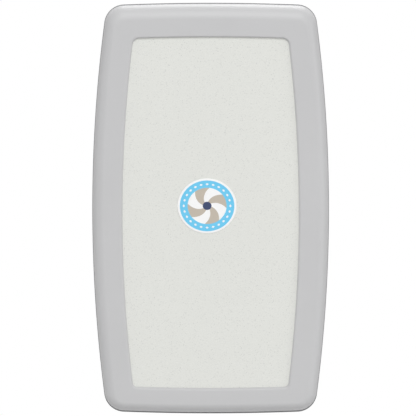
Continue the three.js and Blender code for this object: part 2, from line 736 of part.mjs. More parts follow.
// Buckle body: a base plate with two cheeks that carry the cam
function buckleBody() {
  const floor = trayFloor - 0.8;
  const foot = rectangle(-buckleHalfLength, buckleHalfLength, -buckleHalfWidth, buckleHalfWidth, 5);
  const base = frontPlate(foot, floor - 2.7, floor);
  const cheek = new THREE.Shape();
  cheek.moveTo(-buckleHalfLength + 2, -(floor - 1));
  cheek.lineTo(10, -(floor - 1));
  cheek.quadraticCurveTo(6, -buckleTop - 4, -4, -buckleTop);
  cheek.lineTo(-18, -buckleTop);
  cheek.quadraticCurveTo(-buckleHalfLength + 2, -buckleTop - 2, -buckleHalfLength + 2, -(floor - 1));
  roundHole(cheek, camPivot.x, -camPivot.reach, 2.9);
  const cheeks = [-buckleHalfWidth, buckleHalfWidth - 3].map((z) => {
    const geometry = new THREE.ExtrudeGeometry(cheek, { depth: 3, bevelEnabled: false, curveSegments: 5 });
    geometry.translate(0, 0, z);
    return toSolid(geometry);
  });
  return join(base, ...cheeks);
}

function bucklePin() {
  const end = buckleHalfWidth - 0.4;
  const profile = [[0, -end], [2.5, -end], [2.5, end], [0, end]];
  return turned(profile, place(camPivot.x, camPivot.reach, 0), alongZ, 12);
}

// Cam lever of the buckle: a lobe on the pin that grips the strap and a thumb lever
function buckleCam() {
  const lever = new THREE.Shape();
  const axis = -camPivot.reach;
  lever.moveTo(camPivot.x - 5, axis + 3);
  lever.quadraticCurveTo(camPivot.x, axis + 6.5, camPivot.x + 8, axis + 5);
  lever.lineTo(buckleHalfLength - 4, axis + 3.5);
  lever.quadraticCurveTo(buckleHalfLength + 1, axis + 4, buckleHalfLength + 1, axis + 1);
  lever.lineTo(12, axis - 0.5);
  lever.quadraticCurveTo(camPivot.x + 8, axis - 3, camPivot.x + 3, axis - 4.6);
  lever.quadraticCurveTo(camPivot.x - 6, axis - 5, camPivot.x - 5, axis + 3);
  roundHole(lever, camPivot.x, axis, 2.9);
  const half = buckleHalfWidth - 3.5;
  const options = { depth: 2 * half, bevelEnabled: false, curveSegments: 5 };
  const geometry = new THREE.ExtrudeGeometry(lever, options);
  geometry.translate(0, 0, -half);
  return toSolid(geometry);
}

addPiece('mounting_chassis', mountingChassis(), finish.zincSteel);
addPiece('wall_housing', wallHousing(), finish.greyPlastic);
screwPlaces.forEach(([x, z], i) => addPiece(`wall_screw_${i + 1}`, wallScrew(x, z), finish.zincSteel));
addPair('hinge_pin', hingePin(), finish.zincSteel);
addPair('pin_ring', pinRing(), finish.darkSteel);
addPair('wall_strut_stud', strutStud(innerCheekX, strutWall), finish.zincSteel);
addPiece('liner_bin', linerBin(), finish.greyPlastic);
addPiece('liner_stack', linerStack(), finish.paper);
addPair('bag_hook', bagHook(), finish.greyPlastic);
addPair('bumper', bumper(), finish.rubber);
addPiece('liner_door', linerDoor(), finish.greyPlastic);
addPiece('bed_frame', bedFrame(), finish.greyPlastic);
addPiece('front_panel', frontPanel(), finish.granitePlastic);
addPiece('front_badge', frontBadge(), finish.badge);
addPiece('changing_tray', changingTray(), finish.granitePlastic);
addPair('bed_arm', bedArm(), finish.zincSteel);
addPair('hinge_bush', hingeBush(), finish.whiteNylon);
addPair('bed_strut_stud', strutStud(armX, strutBed), finish.zincSteel);
addPair('strut_cylinder', strutCylinder(), finish.darkSteel);
addPair('strut_rod', strutRod(), finish.zincSteel);
addPair('strap', strapHalf(), finish.webbing);
addPair('strap_anchor', strapAnchor(), finish.zincSteel);
addPiece('buckle_body', buckleBody(), finish.blackPlastic);
addPiece('buckle_pin', bucklePin(), finish.zincSteel);
addPiece('buckle_cam', buckleCam(), finish.blackPlastic);

export default station;
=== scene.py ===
import json
import math
import bmesh
import bpy
import numpy as np
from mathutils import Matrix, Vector


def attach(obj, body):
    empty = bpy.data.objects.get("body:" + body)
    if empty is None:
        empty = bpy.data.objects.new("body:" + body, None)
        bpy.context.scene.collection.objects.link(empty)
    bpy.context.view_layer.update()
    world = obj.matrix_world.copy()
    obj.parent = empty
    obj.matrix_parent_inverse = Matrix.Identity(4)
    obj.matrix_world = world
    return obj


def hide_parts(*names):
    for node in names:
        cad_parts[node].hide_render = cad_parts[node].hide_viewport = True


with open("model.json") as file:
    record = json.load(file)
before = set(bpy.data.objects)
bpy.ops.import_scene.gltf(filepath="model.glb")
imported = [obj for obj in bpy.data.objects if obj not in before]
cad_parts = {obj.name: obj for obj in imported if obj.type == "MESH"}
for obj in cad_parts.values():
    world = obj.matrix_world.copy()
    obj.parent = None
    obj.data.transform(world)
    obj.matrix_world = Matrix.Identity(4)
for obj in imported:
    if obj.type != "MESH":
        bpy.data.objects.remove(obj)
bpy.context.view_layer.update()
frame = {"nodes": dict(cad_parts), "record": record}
nodes = frame["nodes"]
mm = 0.001

# The bowed outline, which both shells of the station share (mm)
barrel = {
    "width": 527.0, "height": 914.0, "depth": 150.0,
    "sideRadius": 3200.0, "endRadius": 5000.0, "cornerRadius": 45.0,
    "sideSteps": 56, "endSteps": 28, "cornerSteps": 20,
}


# Evenly spaced points on an arc: centre + radius * (cos, sin) of angles from start to stop
def arcRow(centreX, centreZ, radius, start, stop, steps):
    turn = np.linspace(start, stop, steps + 1)
    return np.stack([centreX + radius * np.cos(turn), centreZ + radius * np.sin(turn)], axis=1)


# Corner fillet between the side arc and an end arc: its centre is one corner radius inside both arcs,
# found where two circles about the arcs' own centres cross
def cornerArc(sideInset, endInset, corner):
    sideCentre = barrel["width"] / 2 - barrel["sideRadius"]
    endCentre = barrel["height"] / 2 - barrel["endRadius"]
    fromSide = barrel["sideRadius"] - sideInset - corner
    fromEnd = barrel["endRadius"] - endInset - corner
    apart = math.hypot(sideCentre, endCentre)
    along = (fromSide ** 2 - fromEnd ** 2 + apart ** 2) / (2 * apart)
    across = math.sqrt(fromSide ** 2 - along ** 2)
    ux, uz = -sideCentre / apart, endCentre / apart
    x = sideCentre + along * ux - across * uz
    z = along * uz + across * ux
    return x, z, math.atan2(z, x - sideCentre), math.atan2(z - endCentre, x)


# Closed ring of [x, z] points: the bowed outline drawn in by its insets, anticlockwise seen from the front;
# its sides bow about a middle that lies drop below the frame's
def barrelRing(side, top, bottom, topCorner, bottomCorner, drop):
    top, bottom = top - drop, bottom + drop
    sideCentre = barrel["width"] / 2 - barrel["sideRadius"]
    endCentre = barrel["height"] / 2 - barrel["endRadius"]
    ux, uz, upperSide, upperEnd = cornerArc(side, top, topCorner)
    lx, lz, lowerSide, lowerEnd = cornerArc(side, bottom, bottomCorner)
    half, steps = barrel["endSteps"] // 2, barrel["cornerSteps"]
    right = np.concatenate([
        arcRow(0, -endCentre, barrel["endRadius"] - bottom, -math.pi / 2, -lowerEnd, half)[:-1],
        arcRow(lx, -lz, bottomCorner, -lowerEnd, -lowerSide, steps)[:-1],
        arcRow(sideCentre, 0, barrel["sideRadius"] - side, -lowerSide, upperSide, barrel["sideSteps"])[:-1],
        arcRow(ux, uz, topCorner, upperSide, upperEnd, steps)[:-1],
        arcRow(0, endCentre, barrel["endRadius"] - top, upperEnd, math.pi / 2, half),
    ])
    right[:, 1] -= drop
    left = (right * np.array([-1, 1]))[::-1]
    return np.concatenate([right, left[1:-1]])


# Station of a loft: reach from the wall, insets from the outline and corner radii, all in mm;
# an inset that isn't given equals the side's, a corner shrinks by the inset but not below 6,
# and drop lowers the middle of the sides' bow
def station(reach, side, top=None, bottom=None, topCorner=None, bottomCorner=None, drop=0.0):
    top = side if top is None else top
    bottom = side if bottom is None else bottom
    topCorner = max(barrel["cornerRadius"] - side, 6) if topCorner is None else topCorner
    bottomCorner = topCorner if bottomCorner is None else bottomCorner
    return (reach, side, top, bottom, topCorner, bottomCorner, drop)


# Cubic curve through rows of values with a tangent at each, by the four Hermite weights; steps per span
def hermite(given, tangent, steps):
    t = np.linspace(0, 1, steps, endpoint=False)[None, :, None]
    a, b, u, v = given[:-1, None], given[1:, None], tangent[:-1, None], tangent[1:, None]
    curve = ((2 * t ** 3 - 3 * t ** 2 + 1) * a + (t ** 3 - 2 * t ** 2 + t) * u
             + (3 * t ** 2 - 2 * t ** 3) * b + (t ** 3 - t ** 2) * v)
    return np.concatenate([curve.reshape(-1, given.shape[1]), given[-1:]])


# Stations drawn smoothly through given ones: a tangent is the harmonic mean of the slopes beside it,
# or none where they differ in sign, so that no value overshoots
def smoothStations(stations, steps):
    given = np.array(stations, dtype=float)
    slope = np.diff(given, axis=0)
    tangent = np.zeros_like(given)
    same = slope[:-1] * slope[1:] > 0
    total = np.where(same, slope[:-1] + slope[1:], 1)
    tangent[1:-1] = np.where(same, 2 * slope[:-1] * slope[1:] / total, 0)
    tangent[0], tangent[-1] = slope[0], slope[-1]
    return [tuple(row) for row in hermite(given, tangent, steps)]


# Mesh object in the scene from whole arrays of vertices (metres) and faces
def meshFromArrays(name, verts, faces):
    mesh = bpy.data.meshes.new(name)
    mesh.from_pydata(np.asarray(verts, dtype=float).tolist(), [], [list(f) for f in faces])
    mesh.validate()
    piece = bpy.data.objects.new(name, mesh)
    bpy.context.scene.collection.objects.link(piece)
    return piece


# Faces of a grid of rows by columns, wrapped round in either direction
def gridFaces(rows, columns, closeRows, closeColumns):
    r = np.arange(rows if closeRows else rows - 1)
    c = np.arange(columns if closeColumns else columns - 1)
    i, j = np.meshgrid(r, c, indexing="ij")
    i2, j2 = (i + 1) % rows, (j + 1) % columns
    quads = np.stack([i * columns + j, i * columns + j2, i2 * columns + j2, i2 * columns + j], axis=-1)
    return quads.reshape(-1, 4).tolist()


# The two end faces of a grid whose columns wrap round: its first row, turned over, and its last row
def endFaces(rows, columns):
    return [list(range(columns))[::-1], list(range((rows - 1) * columns, rows * columns))]


# Closes seams, turns normals outwards, then smooths the faces except over edges sharper than an angle
def finishShading(piece, sharpAngle=35):
    work = bmesh.new()
    work.from_mesh(piece.data)
    bmesh.ops.remove_doubles(work, verts=work.verts, dist=1e-6)
    bmesh.ops.recalc_face_normals(work, faces=work.faces)
    work.to_mesh(piece.data)
    work.free()
    piece.data.shade_smooth()
    piece.data.set_sharp_from_angle(angle=math.radians(sharpAngle))
    return piece


# Surface through stations: row i is the outline of station i set at y = -reach; capped, or closed on itself
def loftPiece(name, stations, closed=False, sharpAngle=35):
    rings = np.stack([barrelRing(*s[1:]) for s in stations])
    count = rings.shape[1]
    reach = np.array([s[0] for s in stations])
    verts = np.stack([rings[..., 0], np.repeat(-reach[:, None], count, 1), rings[..., 1]], axis=-1)
    faces = gridFaces(len(stations), count, closed, True)
    if not closed:
        faces += endFaces(len(stations), count)
    return finishShading(meshFromArrays(name, verts.reshape(-1, 3) * mm, faces), sharpAngle)


# Cuts or joins by an exact boolean and keeps the result as the piece's own mesh
def combine(piece, other, operation="DIFFERENCE"):
    modifier = piece.modifiers.new("combine", "BOOLEAN")
    modifier.operation = operation
    modifier.object = other
    modifier.solver = "EXACT"
    result = piece.evaluated_get(bpy.context.evaluated_depsgraph_get())
    mesh = bpy.data.meshes.new_from_object(result)
    piece.modifiers.clear()
    piece.data = mesh
    bpy.data.objects.remove(other)
    return piece


# Several separate meshes gathered into the first one
def gather(first, *others):
    work = bmesh.new()
    for piece in (first, *others):
        work.from_mesh(piece.data)
    work.to_mesh(first.data)
    work.free()
    for piece in others:
        bpy.data.objects.remove(piece)
    return first


# Mirrors a piece in x and turns its faces round
def turnOver(piece):
    mesh = piece.data
    places = np.empty(len(mesh.vertices) * 3)
    mesh.vertices.foreach_get("co", places)
    places[0::3] *= -1
    mesh.vertices.foreach_set("co", places)
    mesh.flip_normals()
    mesh.update()
    return piece


# Copy of a piece mirrored in x
def mirrored(piece, name):
    twin = bpy.data.objects.new(name, piece.data.copy())
    bpy.context.scene.collection.objects.link(twin)
    return turnOver(twin)


# Prism with eased edges: the outline is drawn in round a quarter circle of the ease at both ends, plus one
# ring on each end face that keeps it flat; planes: front (x, z), side (reach, z), top (x, reach), in mm
def prism(name, outline, low, high, plane="front", ease=0.0, sharpAngle=30):
    flat = np.asarray(outline, dtype=float)
    along = np.roll(flat, -1, 0) - np.roll(flat, 1, 0)
    along /= np.maximum(np.linalg.norm(along, axis=1, keepdims=True), 1e-9)
    area = np.sum(flat[:, 0] * np.roll(flat[:, 1], -1) - flat[:, 1] * np.roll(flat[:, 0], -1))
    inward = np.stack([-along[:, 1], along[:, 0]], axis=1) * np.sign(area)
    bend = np.linspace(math.pi / 2, 0, 4) if ease > 0 else np.zeros(1)
    lowEnd = [(low + ease * (1 - math.sin(b)), ease * (1 - math.cos(b))) for b in bend]
    lowEnd = [(low, 1.4 * ease)] * (ease > 0) + lowEnd
    levels = lowEnd + [(low + high - depth, inset) for depth, inset in lowEnd[::-1]]
    rows = []
    for depth, inset in levels:
        ring = flat + inward * inset
        level = np.full(len(flat), float(depth))
        order = {"front": [ring[:, 0], -level, ring[:, 1]], "side": [level, -ring[:, 0], ring[:, 1]],
                 "top": [ring[:, 0], -ring[:, 1], level]}
        rows.append(np.stack(order[plane], axis=1))
    count = len(flat)
    faces = gridFaces(len(levels), count, False, True) + endFaces(len(levels), count)
    return finishShading(meshFromArrays(name, np.concatenate(rows) * mm, faces), sharpAngle)


# Rounded outline: each corner becomes a quadratic curve trimmed by its radius
def roundedOutline(corners, radius, steps=6):
    points = np.array([c[:2] for c in corners], dtype=float)
    radii = np.array([c[2] if len(c) > 2 else radius for c in corners], dtype=float)
    before, after = np.roll(points, 1, 0) - points, np.roll(points, -1, 0) - points
    lengthBefore, lengthAfter = np.linalg.norm(before, axis=1), np.linalg.norm(after, axis=1)
    trim = np.minimum(radii, 0.45 * np.minimum(lengthBefore, lengthAfter))[:, None]
    start = points + before / lengthBefore[:, None] * trim
    end = points + after / lengthAfter[:, None] * trim
    t = np.linspace(0, 1, steps + 1)[None, :, None]
    curve = (1 - t) ** 2 * start[:, None] + 2 * t * (1 - t) * points[:, None] + t ** 2 * end[:, None]
    return curve.reshape(-1, 2)


# Rounded rectangle between two x values and two z values
def rectangle(xLow, xHigh, zLow, zHigh, radius):
    return roundedOutline([(xLow, zLow), (xHigh, zLow), (xHigh, zHigh), (xLow, zHigh)], radius)


# Turned surface: profile of (radius, distance) in mm carried round the line through origin along axis
def turnedPiece(name, profile, origin, axis, segments=48, sharpAngle=30):
    radius, along = np.array(profile, dtype=float).T
    axis = np.array(axis, dtype=float) / np.linalg.norm(axis)
    helper = np.array([0.0, 0.0, 1.0]) if abs(axis[2]) < 0.9 else np.array([1.0, 0.0, 0.0])
    across = np.cross(axis, helper)
    across /= np.linalg.norm(across)
    other = np.cross(axis, across)
    turn = np.linspace(0, 2 * math.pi, segments, endpoint=False)
    ring = np.cos(turn)[:, None] * across + np.sin(turn)[:, None] * other
    verts = np.array(origin) + along[:, None, None] * axis + radius[:, None, None] * ring[None]
    faces = gridFaces(len(profile), segments, False, True)
    return finishShading(meshFromArrays(name, verts.reshape(-1, 3) * mm, faces), sharpAngle)


# Pin: cylinder of a radius from low to high along its axis, with chamfered ends where an ease is given
def pinPiece(name, radius, low, high, origin, axis, segments=32, ease=0.0):
    profile = [(0, low), (radius, low), (radius, high), (0, high)]
    if ease > 0:
        rims = [(radius - ease, low), (radius, low + ease), (radius, high - ease), (radius - ease, high)]
        profile = [(0, low), *rims, (0, high)]
    return turnedPiece(name, profile, origin, axis, segments)


# Cuts an outline's prism out of a piece
def cut(piece, outline, low, high, plane="front"):
    combine(piece, prism("cutter", outline, low, high, plane))


# Cuts an outline's prism and its mirror image in x out of a piece
def cutBothSides(piece, outline, low, high):
    cut(piece, outline, low, high)
    cut(piece, (outline * np.array([-1, 1]))[::-1], low, high)


# Dresses a finished piece: material, body it rides on and the CAD nodes it stands for, which it hides; the
# slot name is not used
def dress(piece, material, body, slotName, *replaced):
    piece.data.materials.clear()
    piece.data.materials.append(materials[material])
    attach(piece, body)
    if replaced:
        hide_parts(*replaced)
    return piece


print("outline tools ready")


# Linear colour from 0-255 screen values, by the standard screen curve
def tone(red, green, blue):
    screen = np.array([red, green, blue]) / 255
    linear = np.where(screen <= 0.04045, screen / 12.92, ((screen + 0.055) / 1.055) ** 2.4)
    return (*linear.tolist(), 1.0)


# Each named or numbered input takes a link from a socket, or else a plain value
def feed(tree, target, inputs):
    for place, value in inputs.items():
        if isinstance(value, bpy.types.NodeSocket):
            tree.links.new(value, target.inputs[place])
        else:
            target.inputs[place].default_value = value


# New node of a kind with the given settings, then its inputs fed
def node(tree, kind, inputs=None, **settings):
    made = tree.nodes.new(kind)
    for key, value in settings.items():
        setattr(made, key, value)
    feed(tree, made, inputs or {})
    return made


# New material, its node tree and its shader
def newMaterial(name):
    material = bpy.data.materials.new(name)
    material.use_nodes = True
    return material, material.node_tree, material.node_tree.nodes["Principled BSDF"]


# One mathematical step on sockets or plain numbers
def maths(tree, operation, *values):
    return node(tree, "ShaderNodeMath", dict(enumerate(values)), operation=operation).outputs["Value"]


# Mix of two colours, each a socket or a plain colour, by a factor; the node numbers its colour sockets so
def mixColour(tree, factor, first, second):
    return node(tree, "ShaderNodeMix", {0: factor, 6: first, 7: second}, data_type="RGBA").outputs[2]


# Range 0..1 of a factor socket carried to low..high
def remap(tree, factor, low, high):
    inputs = {"Value": factor, "To Min": low, "To Max": high}
    return node(tree, "ShaderNodeMapRange", inputs).outputs["Result"]


# Bump: the height socket times a distance (m), by its strength, bends the shader's normal
def raiseRelief(tree, shader, height, strength, distance):
    relief = node(tree, "ShaderNodeBump", {"Strength": strength, "Distance": distance, "Height": height})
    feed(tree, shader, {"Normal": relief.outputs["Normal"]})


# Group with named float inputs and outputs, ready to be filled with nodes
def newGroup(name, inputs, outputs):
    group = bpy.data.node_groups.new(name, "ShaderNodeTree")
    for socket, value in inputs.items():
        made = group.interface.new_socket(socket, in_out="INPUT", socket_type="NodeSocketFloat")
        made.default_value = value
    for socket in outputs:
        group.interface.new_socket(socket, in_out="OUTPUT", socket_type="NodeSocketFloat")
    return group, node(group, "NodeGroupInput"), node(group, "NodeGroupOutput")


# Moulded grain: fine noise for the height of the skin, slow noise for the drift of its colour
def makeMouldedGrain():
    group, given, out = newGroup(
        "mouldedGrain", {"Grain Scale": 900.0, "Drift Scale": 6.0}, ("Height", "Drift"))
    where = node(group, "ShaderNodeTexCoord").outputs["Object"]
    for scale, detail, result in (("Grain Scale", 3.0, "Height"), ("Drift Scale", 4.0, "Drift")):
        inputs = {"Vector": where, "Scale": given.outputs[scale], "Detail": detail}
        feed(group, out, {result: node(group, "ShaderNodeTexNoise", inputs).outputs["Fac"]})
    return group


# Speckle: a share of the cells of a wobbled Voronoi pattern, each filled round its own middle
speckle = {"wobbleScale": 700.0, "wobble": 0.0016, "core": 0.42}


# Fleck = (random value of the cell below the share) * (distance from its point below the core)
def makeSpeckle():
    group, given, out = newGroup("speckle", {"Scale": 500.0, "Share": 0.12}, ("Fleck",))
    where = node(group, "ShaderNodeTexCoord").outputs["Object"]
    noise = node(group, "ShaderNodeTexNoise", {"Vector": where, "Scale": speckle["wobbleScale"]})
    wobble = {0: noise.outputs["Color"], "Scale": speckle["wobble"]}
    spread = node(group, "ShaderNodeVectorMath", wobble, operation="SCALE").outputs["Vector"]
    moved = node(group, "ShaderNodeVectorMath", {0: where, 1: spread}, operation="ADD").outputs["Vector"]
    cells = node(group, "ShaderNodeTexVoronoi", {"Vector": moved, "Scale": given.outputs["Scale"]})
    split = node(group, "ShaderNodeSeparateColor", {"Color": cells.outputs["Color"]})
    chosen = maths(group, "LESS_THAN", split.outputs["Red"], given.outputs["Share"])
    core = maths(group, "LESS_THAN", cells.outputs["Distance"], speckle["core"])
    feed(group, out, {"Fleck": maths(group, "MULTIPLY", chosen, core)})
    return group


groups = {"grain": makeMouldedGrain(), "speckle": makeSpeckle()}


# Node that uses a shared group, with values set on its named sockets
def useGroup(tree, name, values):
    return node(tree, "ShaderNodeGroup", values, node_tree=groups[name])


# Plain moulded or plated surface: colour drifts between two tones, roughness with it, fine grain as bump
def surface(name, first, second, roughness, metallic=0.0, grain=900.0, bump=0.12, drift=6.0):
    material, tree, shader = newMaterial(name)
    skin = useGroup(tree, "grain", {"Grain Scale": grain, "Drift Scale": drift})
    colour = mixColour(tree, skin.outputs["Drift"], first, second)
    rough = remap(tree, skin.outputs["Drift"], *roughness)
    feed(tree, shader, {"Base Color": colour, "Metallic": metallic, "Roughness": rough})
    raiseRelief(tree, shader, skin.outputs["Height"], bump, 0.0004)
    return material, tree, shader, colour


# Plain finishes: two tones, a range of roughness, then what differs from the usual moulded skin
looks = {
    "grey": {"name": "greyMoulding", "first": tone(196, 196, 197), "second": tone(201, 201, 202),
             "roughness": (0.40, 0.50)},
    # seal: darker grey than the frame, a painted shadow line along the groove round the frame
    "paintedShadowSeal": {"name": "greySealPaintedShadow", "first": tone(130, 130, 132), "second": tone(138, 138, 140),
             "roughness": (0.6, 0.7), "bump": 0.1},
    "zinc": {"name": "zincPlate", "first": tone(178, 182, 187), "second": tone(205, 206, 205),
             "roughness": (0.28, 0.46), "metallic": 0.92, "grain": 260.0, "bump": 0.05, "drift": 28.0},
    "blackSteel": {"name": "blackEnamel", "first": tone(44, 45, 48), "second": tone(54, 55, 58),
                   "roughness": (0.30, 0.42), "grain": 500.0, "bump": 0.08},
    "chrome": {"name": "chromeRod", "first": tone(214, 216, 218), "second": tone(224, 225, 226),
               "roughness": (0.10, 0.18), "metallic": 1.0, "bump": 0.02},
    "nylon": {"name": "naturalNylon", "first": tone(229, 227, 219), "second": tone(236, 235, 229),
              "roughness": (0.45, 0.55)},
    "acetal": {"name": "blackAcetal", "first": tone(35, 36, 39), "second": tone(44, 45, 48),
               "roughness": (0.38, 0.52), "bump": 0.15},
    "rubber": {"name": "softRubber", "first": tone(40, 40, 41), "second": tone(52, 52, 52),
               "roughness": (0.7, 0.85), "bump": 0.2},
    "thread": {"name": "stitchThread", "first": tone(150, 154, 160), "second": tone(172, 175, 180),
               "roughness": (0.7, 0.8), "bump": 0.2},
    "paper": {"name": "linerPaper", "first": tone(240, 239, 233), "second": tone(247, 246, 242),
              "roughness": (0.85, 0.95), "grain": 350.0, "bump": 0.3, "drift": 40.0},
}
materials = {key: surface(**look)[0] for key, look in looks.items()}

# Off-white moulding of the panel and the tray, with its flecks: cells per metre, share, strength, colour
granite = {
    "skin": {"name": "graniteMoulding", "first": tone(226, 227, 222), "second": tone(228, 229, 224),
             "roughness": (0.50, 0.54)},
    "flecks": (
        (780.0, 0.22, 0.48, tone(200, 201, 197)),
        (420.0, 0.09, 0.52, tone(190, 191, 188)),
        (560.0, 0.16, 0.60, tone(238, 238, 234)),
    ),
}


# Granite: the drifting skin colour, mixed in turn with each kind of fleck by its strength
def makeGranite():
    material, tree, shader, colour = surface(**granite["skin"])
    for scale, share, strength, tint in granite["flecks"]:
        cells = useGroup(tree, "speckle", {"Scale": scale, "Share": share})
        colour = mixColour(tree, remap(tree, cells.outputs["Fleck"], 0.0, strength), colour, tint)
    feed(tree, shader, {"Base Color": colour})
    return material


# Webbing of the strap, on the ribbon's own UV; bands are scale, wobble, direction
webbing = {
    "bands": ((14.0, 0.4, "X"), (9.0, 0.0, "DIAGONAL")), "relief": (0.5, 0.0006),
    "roughness": 0.82, "sheen": 0.25, "dark": tone(38, 41, 47), "pale": tone(78, 83, 92),
}


# Weave = bands along the ribbon times diagonal bands, used as the mix of two tones and as height
def makeWebbing():
    look = webbing
    material, tree, shader = newMaterial("wovenWebbing")
    where = node(tree, "ShaderNodeTexCoord").outputs["UV"]
    bands = []
    for scale, wobble, direction in look["bands"]:
        inputs = {"Vector": where, "Scale": scale, "Distortion": wobble}
        wave = node(tree, "ShaderNodeTexWave", inputs, wave_type="BANDS", bands_direction=direction)
        bands.append(wave.outputs["Fac"])
    weave = maths(tree, "MULTIPLY", *bands)
    colour = mixColour(tree, weave, look["dark"], look["pale"])
    sheen = {"Roughness": look["roughness"], "Sheen Weight": look["sheen"]}
    feed(tree, shader, {"Base Color": colour, **sheen})
    raiseRelief(tree, shader, weave, *look["relief"])
    return material


# Printed badge: centre and half sizes (mm), then limits as shares of the oval's radius
badgePrint = {
    "centre": (-7.9, 4.9), "half": (65.5, 61.0), "ring": 0.925, "vanes": 0.66, "hub": 0.15,
    "vaneCount": 4.0, "sweep": 5.5, "dots": 0.79, "dotCount": 24.0, "dotWidth": 0.035,
    "roughness": 0.38, "grain": 1400.0, "relief": (0.06, 0.0003),
    "white": tone(250, 250, 250), "sky": tone(122, 212, 248), "deep": tone(108, 202, 242),
    "beige": tone(196, 186, 172), "navy": tone(52, 66, 104),
}


# Pinwheel in radius r and angle a of the oval: vanes by the sign of sin(count * a + sweep * r), dots where
# |r - dots| < width * cos(count * a), hub and rings where r passes its limits
def makeBadgePrint():
    look = badgePrint
    material, tree, shader = newMaterial("badgePrint")
    where = node(tree, "ShaderNodeTexCoord").outputs["Object"]
    parts = node(tree, "ShaderNodeSeparateXYZ", {"Vector": where})
    across = []
    for axis, centre, half in zip(("X", "Z"), look["centre"], look["half"]):
        offset = maths(tree, "SUBTRACT", parts.outputs[axis], centre * mm)
        across.append(maths(tree, "DIVIDE", offset, half * mm))
    squares = [maths(tree, "MULTIPLY", part, part) for part in across]
    radius = maths(tree, "SQRT", maths(tree, "ADD", *squares))
    angle = maths(tree, "ARCTAN2", across[1], across[0])
    turned = maths(tree, "MULTIPLY", radius, look["sweep"])
    swept = maths(tree, "ADD", maths(tree, "MULTIPLY", angle, look["vaneCount"]), turned)
    vane = maths(tree, "GREATER_THAN", maths(tree, "SINE", swept), 0.0)
    dotWave = maths(tree, "COSINE", maths(tree, "MULTIPLY", angle, look["dotCount"]))
    fromDots = maths(tree, "ABSOLUTE", maths(tree, "SUBTRACT", radius, look["dots"]))
    dot = maths(tree, "LESS_THAN", fromDots, maths(tree, "MULTIPLY", dotWave, look["dotWidth"]))
    sky = mixColour(tree, radius, look["sky"], look["deep"])
    colour = mixColour(tree, dot, sky, look["white"])
    vanes = mixColour(tree, vane, look["beige"], look["white"])
    colour = mixColour(tree, maths(tree, "LESS_THAN", radius, look["vanes"]), colour, vanes)
    colour = mixColour(tree, maths(tree, "LESS_THAN", radius, look["hub"]), colour, look["navy"])
    colour = mixColour(tree, maths(tree, "GREATER_THAN", radius, look["ring"]), colour, look["white"])
    feed(tree, shader, {"Base Color": colour, "Roughness": look["roughness"]})
    skin = useGroup(tree, "grain", {"Grain Scale": look["grain"]})
    raiseRelief(tree, shader, skin.outputs["Height"], *look["relief"])
    return material


materials["granite"] = makeGranite()
materials["webbing"] = makeWebbing()
materials["badge"] = makeBadgePrint()
print("materials ready")


# Bed frame: light grey front shell with a rolled outer edge, a flat face and a drafted lip (mm);
# triples are insets at the sides, the top and the bottom, and corners are radii above and below;
# rear, ledge and groove rows are rise and inset, crest and edge rows how far drawn in and how far back
bedFrame = {
    "rear": 70.0, "rearRows": ((0, 1.8), (0.3, 1.0), (0.9, 0.4), (2, 0.1), (3.5, 0), (20, 0)),
    "ledgeRows": ((14, 5), (9, 9), (5.3, 9), (5.3, 5), (1.2, 5), (0.3, 4.3), (0, 3.6)),
    "shell": 5.0, "rollDepth": 30.0, "rollSteps": 20,
    "roll": (26.0, 38.0, 22.0), "crest": (64.4, 75.2, 53.2), "panelEdge": (67.6, 76.8, 57.4),
    "crestCorners": (18.5, 12.5), "crestRows": ((-2.2, 0), (-1, 0.05), (-0.2, 0.3), (0.4, 0.8)),
    "edgeCorners": (17.0, 9.5), "edgeRows": ((-0.5, 4.3), (-0.1, 4.9), (0, 5.6), (0, 6)),
    "windowDrop": 9.7, "lipUnderside": 144.0, "step": (1.3, 2.2, 3.0), "grooveReach": 112.4,
    "grooveRows": ((-0.6, 0), (-0.1, 0.3), (0, 0.8)), "grooveWidth": 2.5, "grooveDepth": 1.4,
    "grooveEase": 0.3,
}


# Station with three insets (side, top, bottom), each moved in by extra
def around(insets, extra, reach, topCorner=None, bottomCorner=None, drop=0.0):
    side, top, bottom = (inset + extra for inset in insets)
    return station(reach, side, top, bottom, topCorner, bottomCorner, drop)


# Quarter roll: inset = start + (roll - start) * (1 - cos), reach = low edge + depth * sin of each angle
def rollStations(start, thickness, angles):
    low = barrel["depth"] - bedFrame["rollDepth"]
    made = []
    for turn in np.radians(angles):
        insets = [s + (w - s) * (1 - math.cos(turn)) for s, w in zip(start, bedFrame["roll"])]
        made.append(station(low + (bedFrame["rollDepth"] - thickness) * math.sin(turn), *insets))
    return made


# Stations round one edge of the lip: insets and corners drawn in together, reach = depth - fall of each row
def lipStations(insets, corners, rows):
    upper, lower = corners
    depth, drop = barrel["depth"], bedFrame["windowDrop"]
    return [around(insets, drawn, depth - fall, upper - drawn, lower - drawn, drop) for drawn, fall in rows]


# Closed loft round the shell's section: eased rear edge, groove, roll, face, lip, then back inside
def makeBedFrame():
    look = bedFrame
    shell, step, low, ease = look["shell"], look["step"], look["grooveReach"], look["grooveEase"]
    high = low + look["grooveWidth"]
    angles = np.linspace(0, 90, look["rollSteps"] + 1)
    return loftPiece("bedFrame", [
        *[station(look["rear"] + rise, inset) for rise, inset in look["rearRows"]],
        *[station(low + rise, inset) for rise, inset in look["grooveRows"]],
        *[around(step, look["grooveDepth"], reach) for reach in (low, high)],
        around(step, ease, high), around(step, 0, high + ease), *rollStations(step, 0, angles),
        *lipStations(look["crest"], look["crestCorners"], look["crestRows"]),
        *lipStations(look["panelEdge"], look["edgeCorners"], look["edgeRows"]),
        around(look["roll"], 0, look["lipUnderside"]), *rollStations([shell] * 3, shell, angles[::-1][1:]),
        *[station(look["rear"] + rise, inset) for rise, inset in look["ledgeRows"]],
    ], closed=True, sharpAngle=40)


# Edge seal: thin soft strip in the groove round the frame, dark grey so that it paints the shadow line of
# the gap round the frame (mm)
shadowLineSeal = {"out": 0.1, "rooted": 1.2, "reach": (0.1, 2.4), "ease": 0.3}


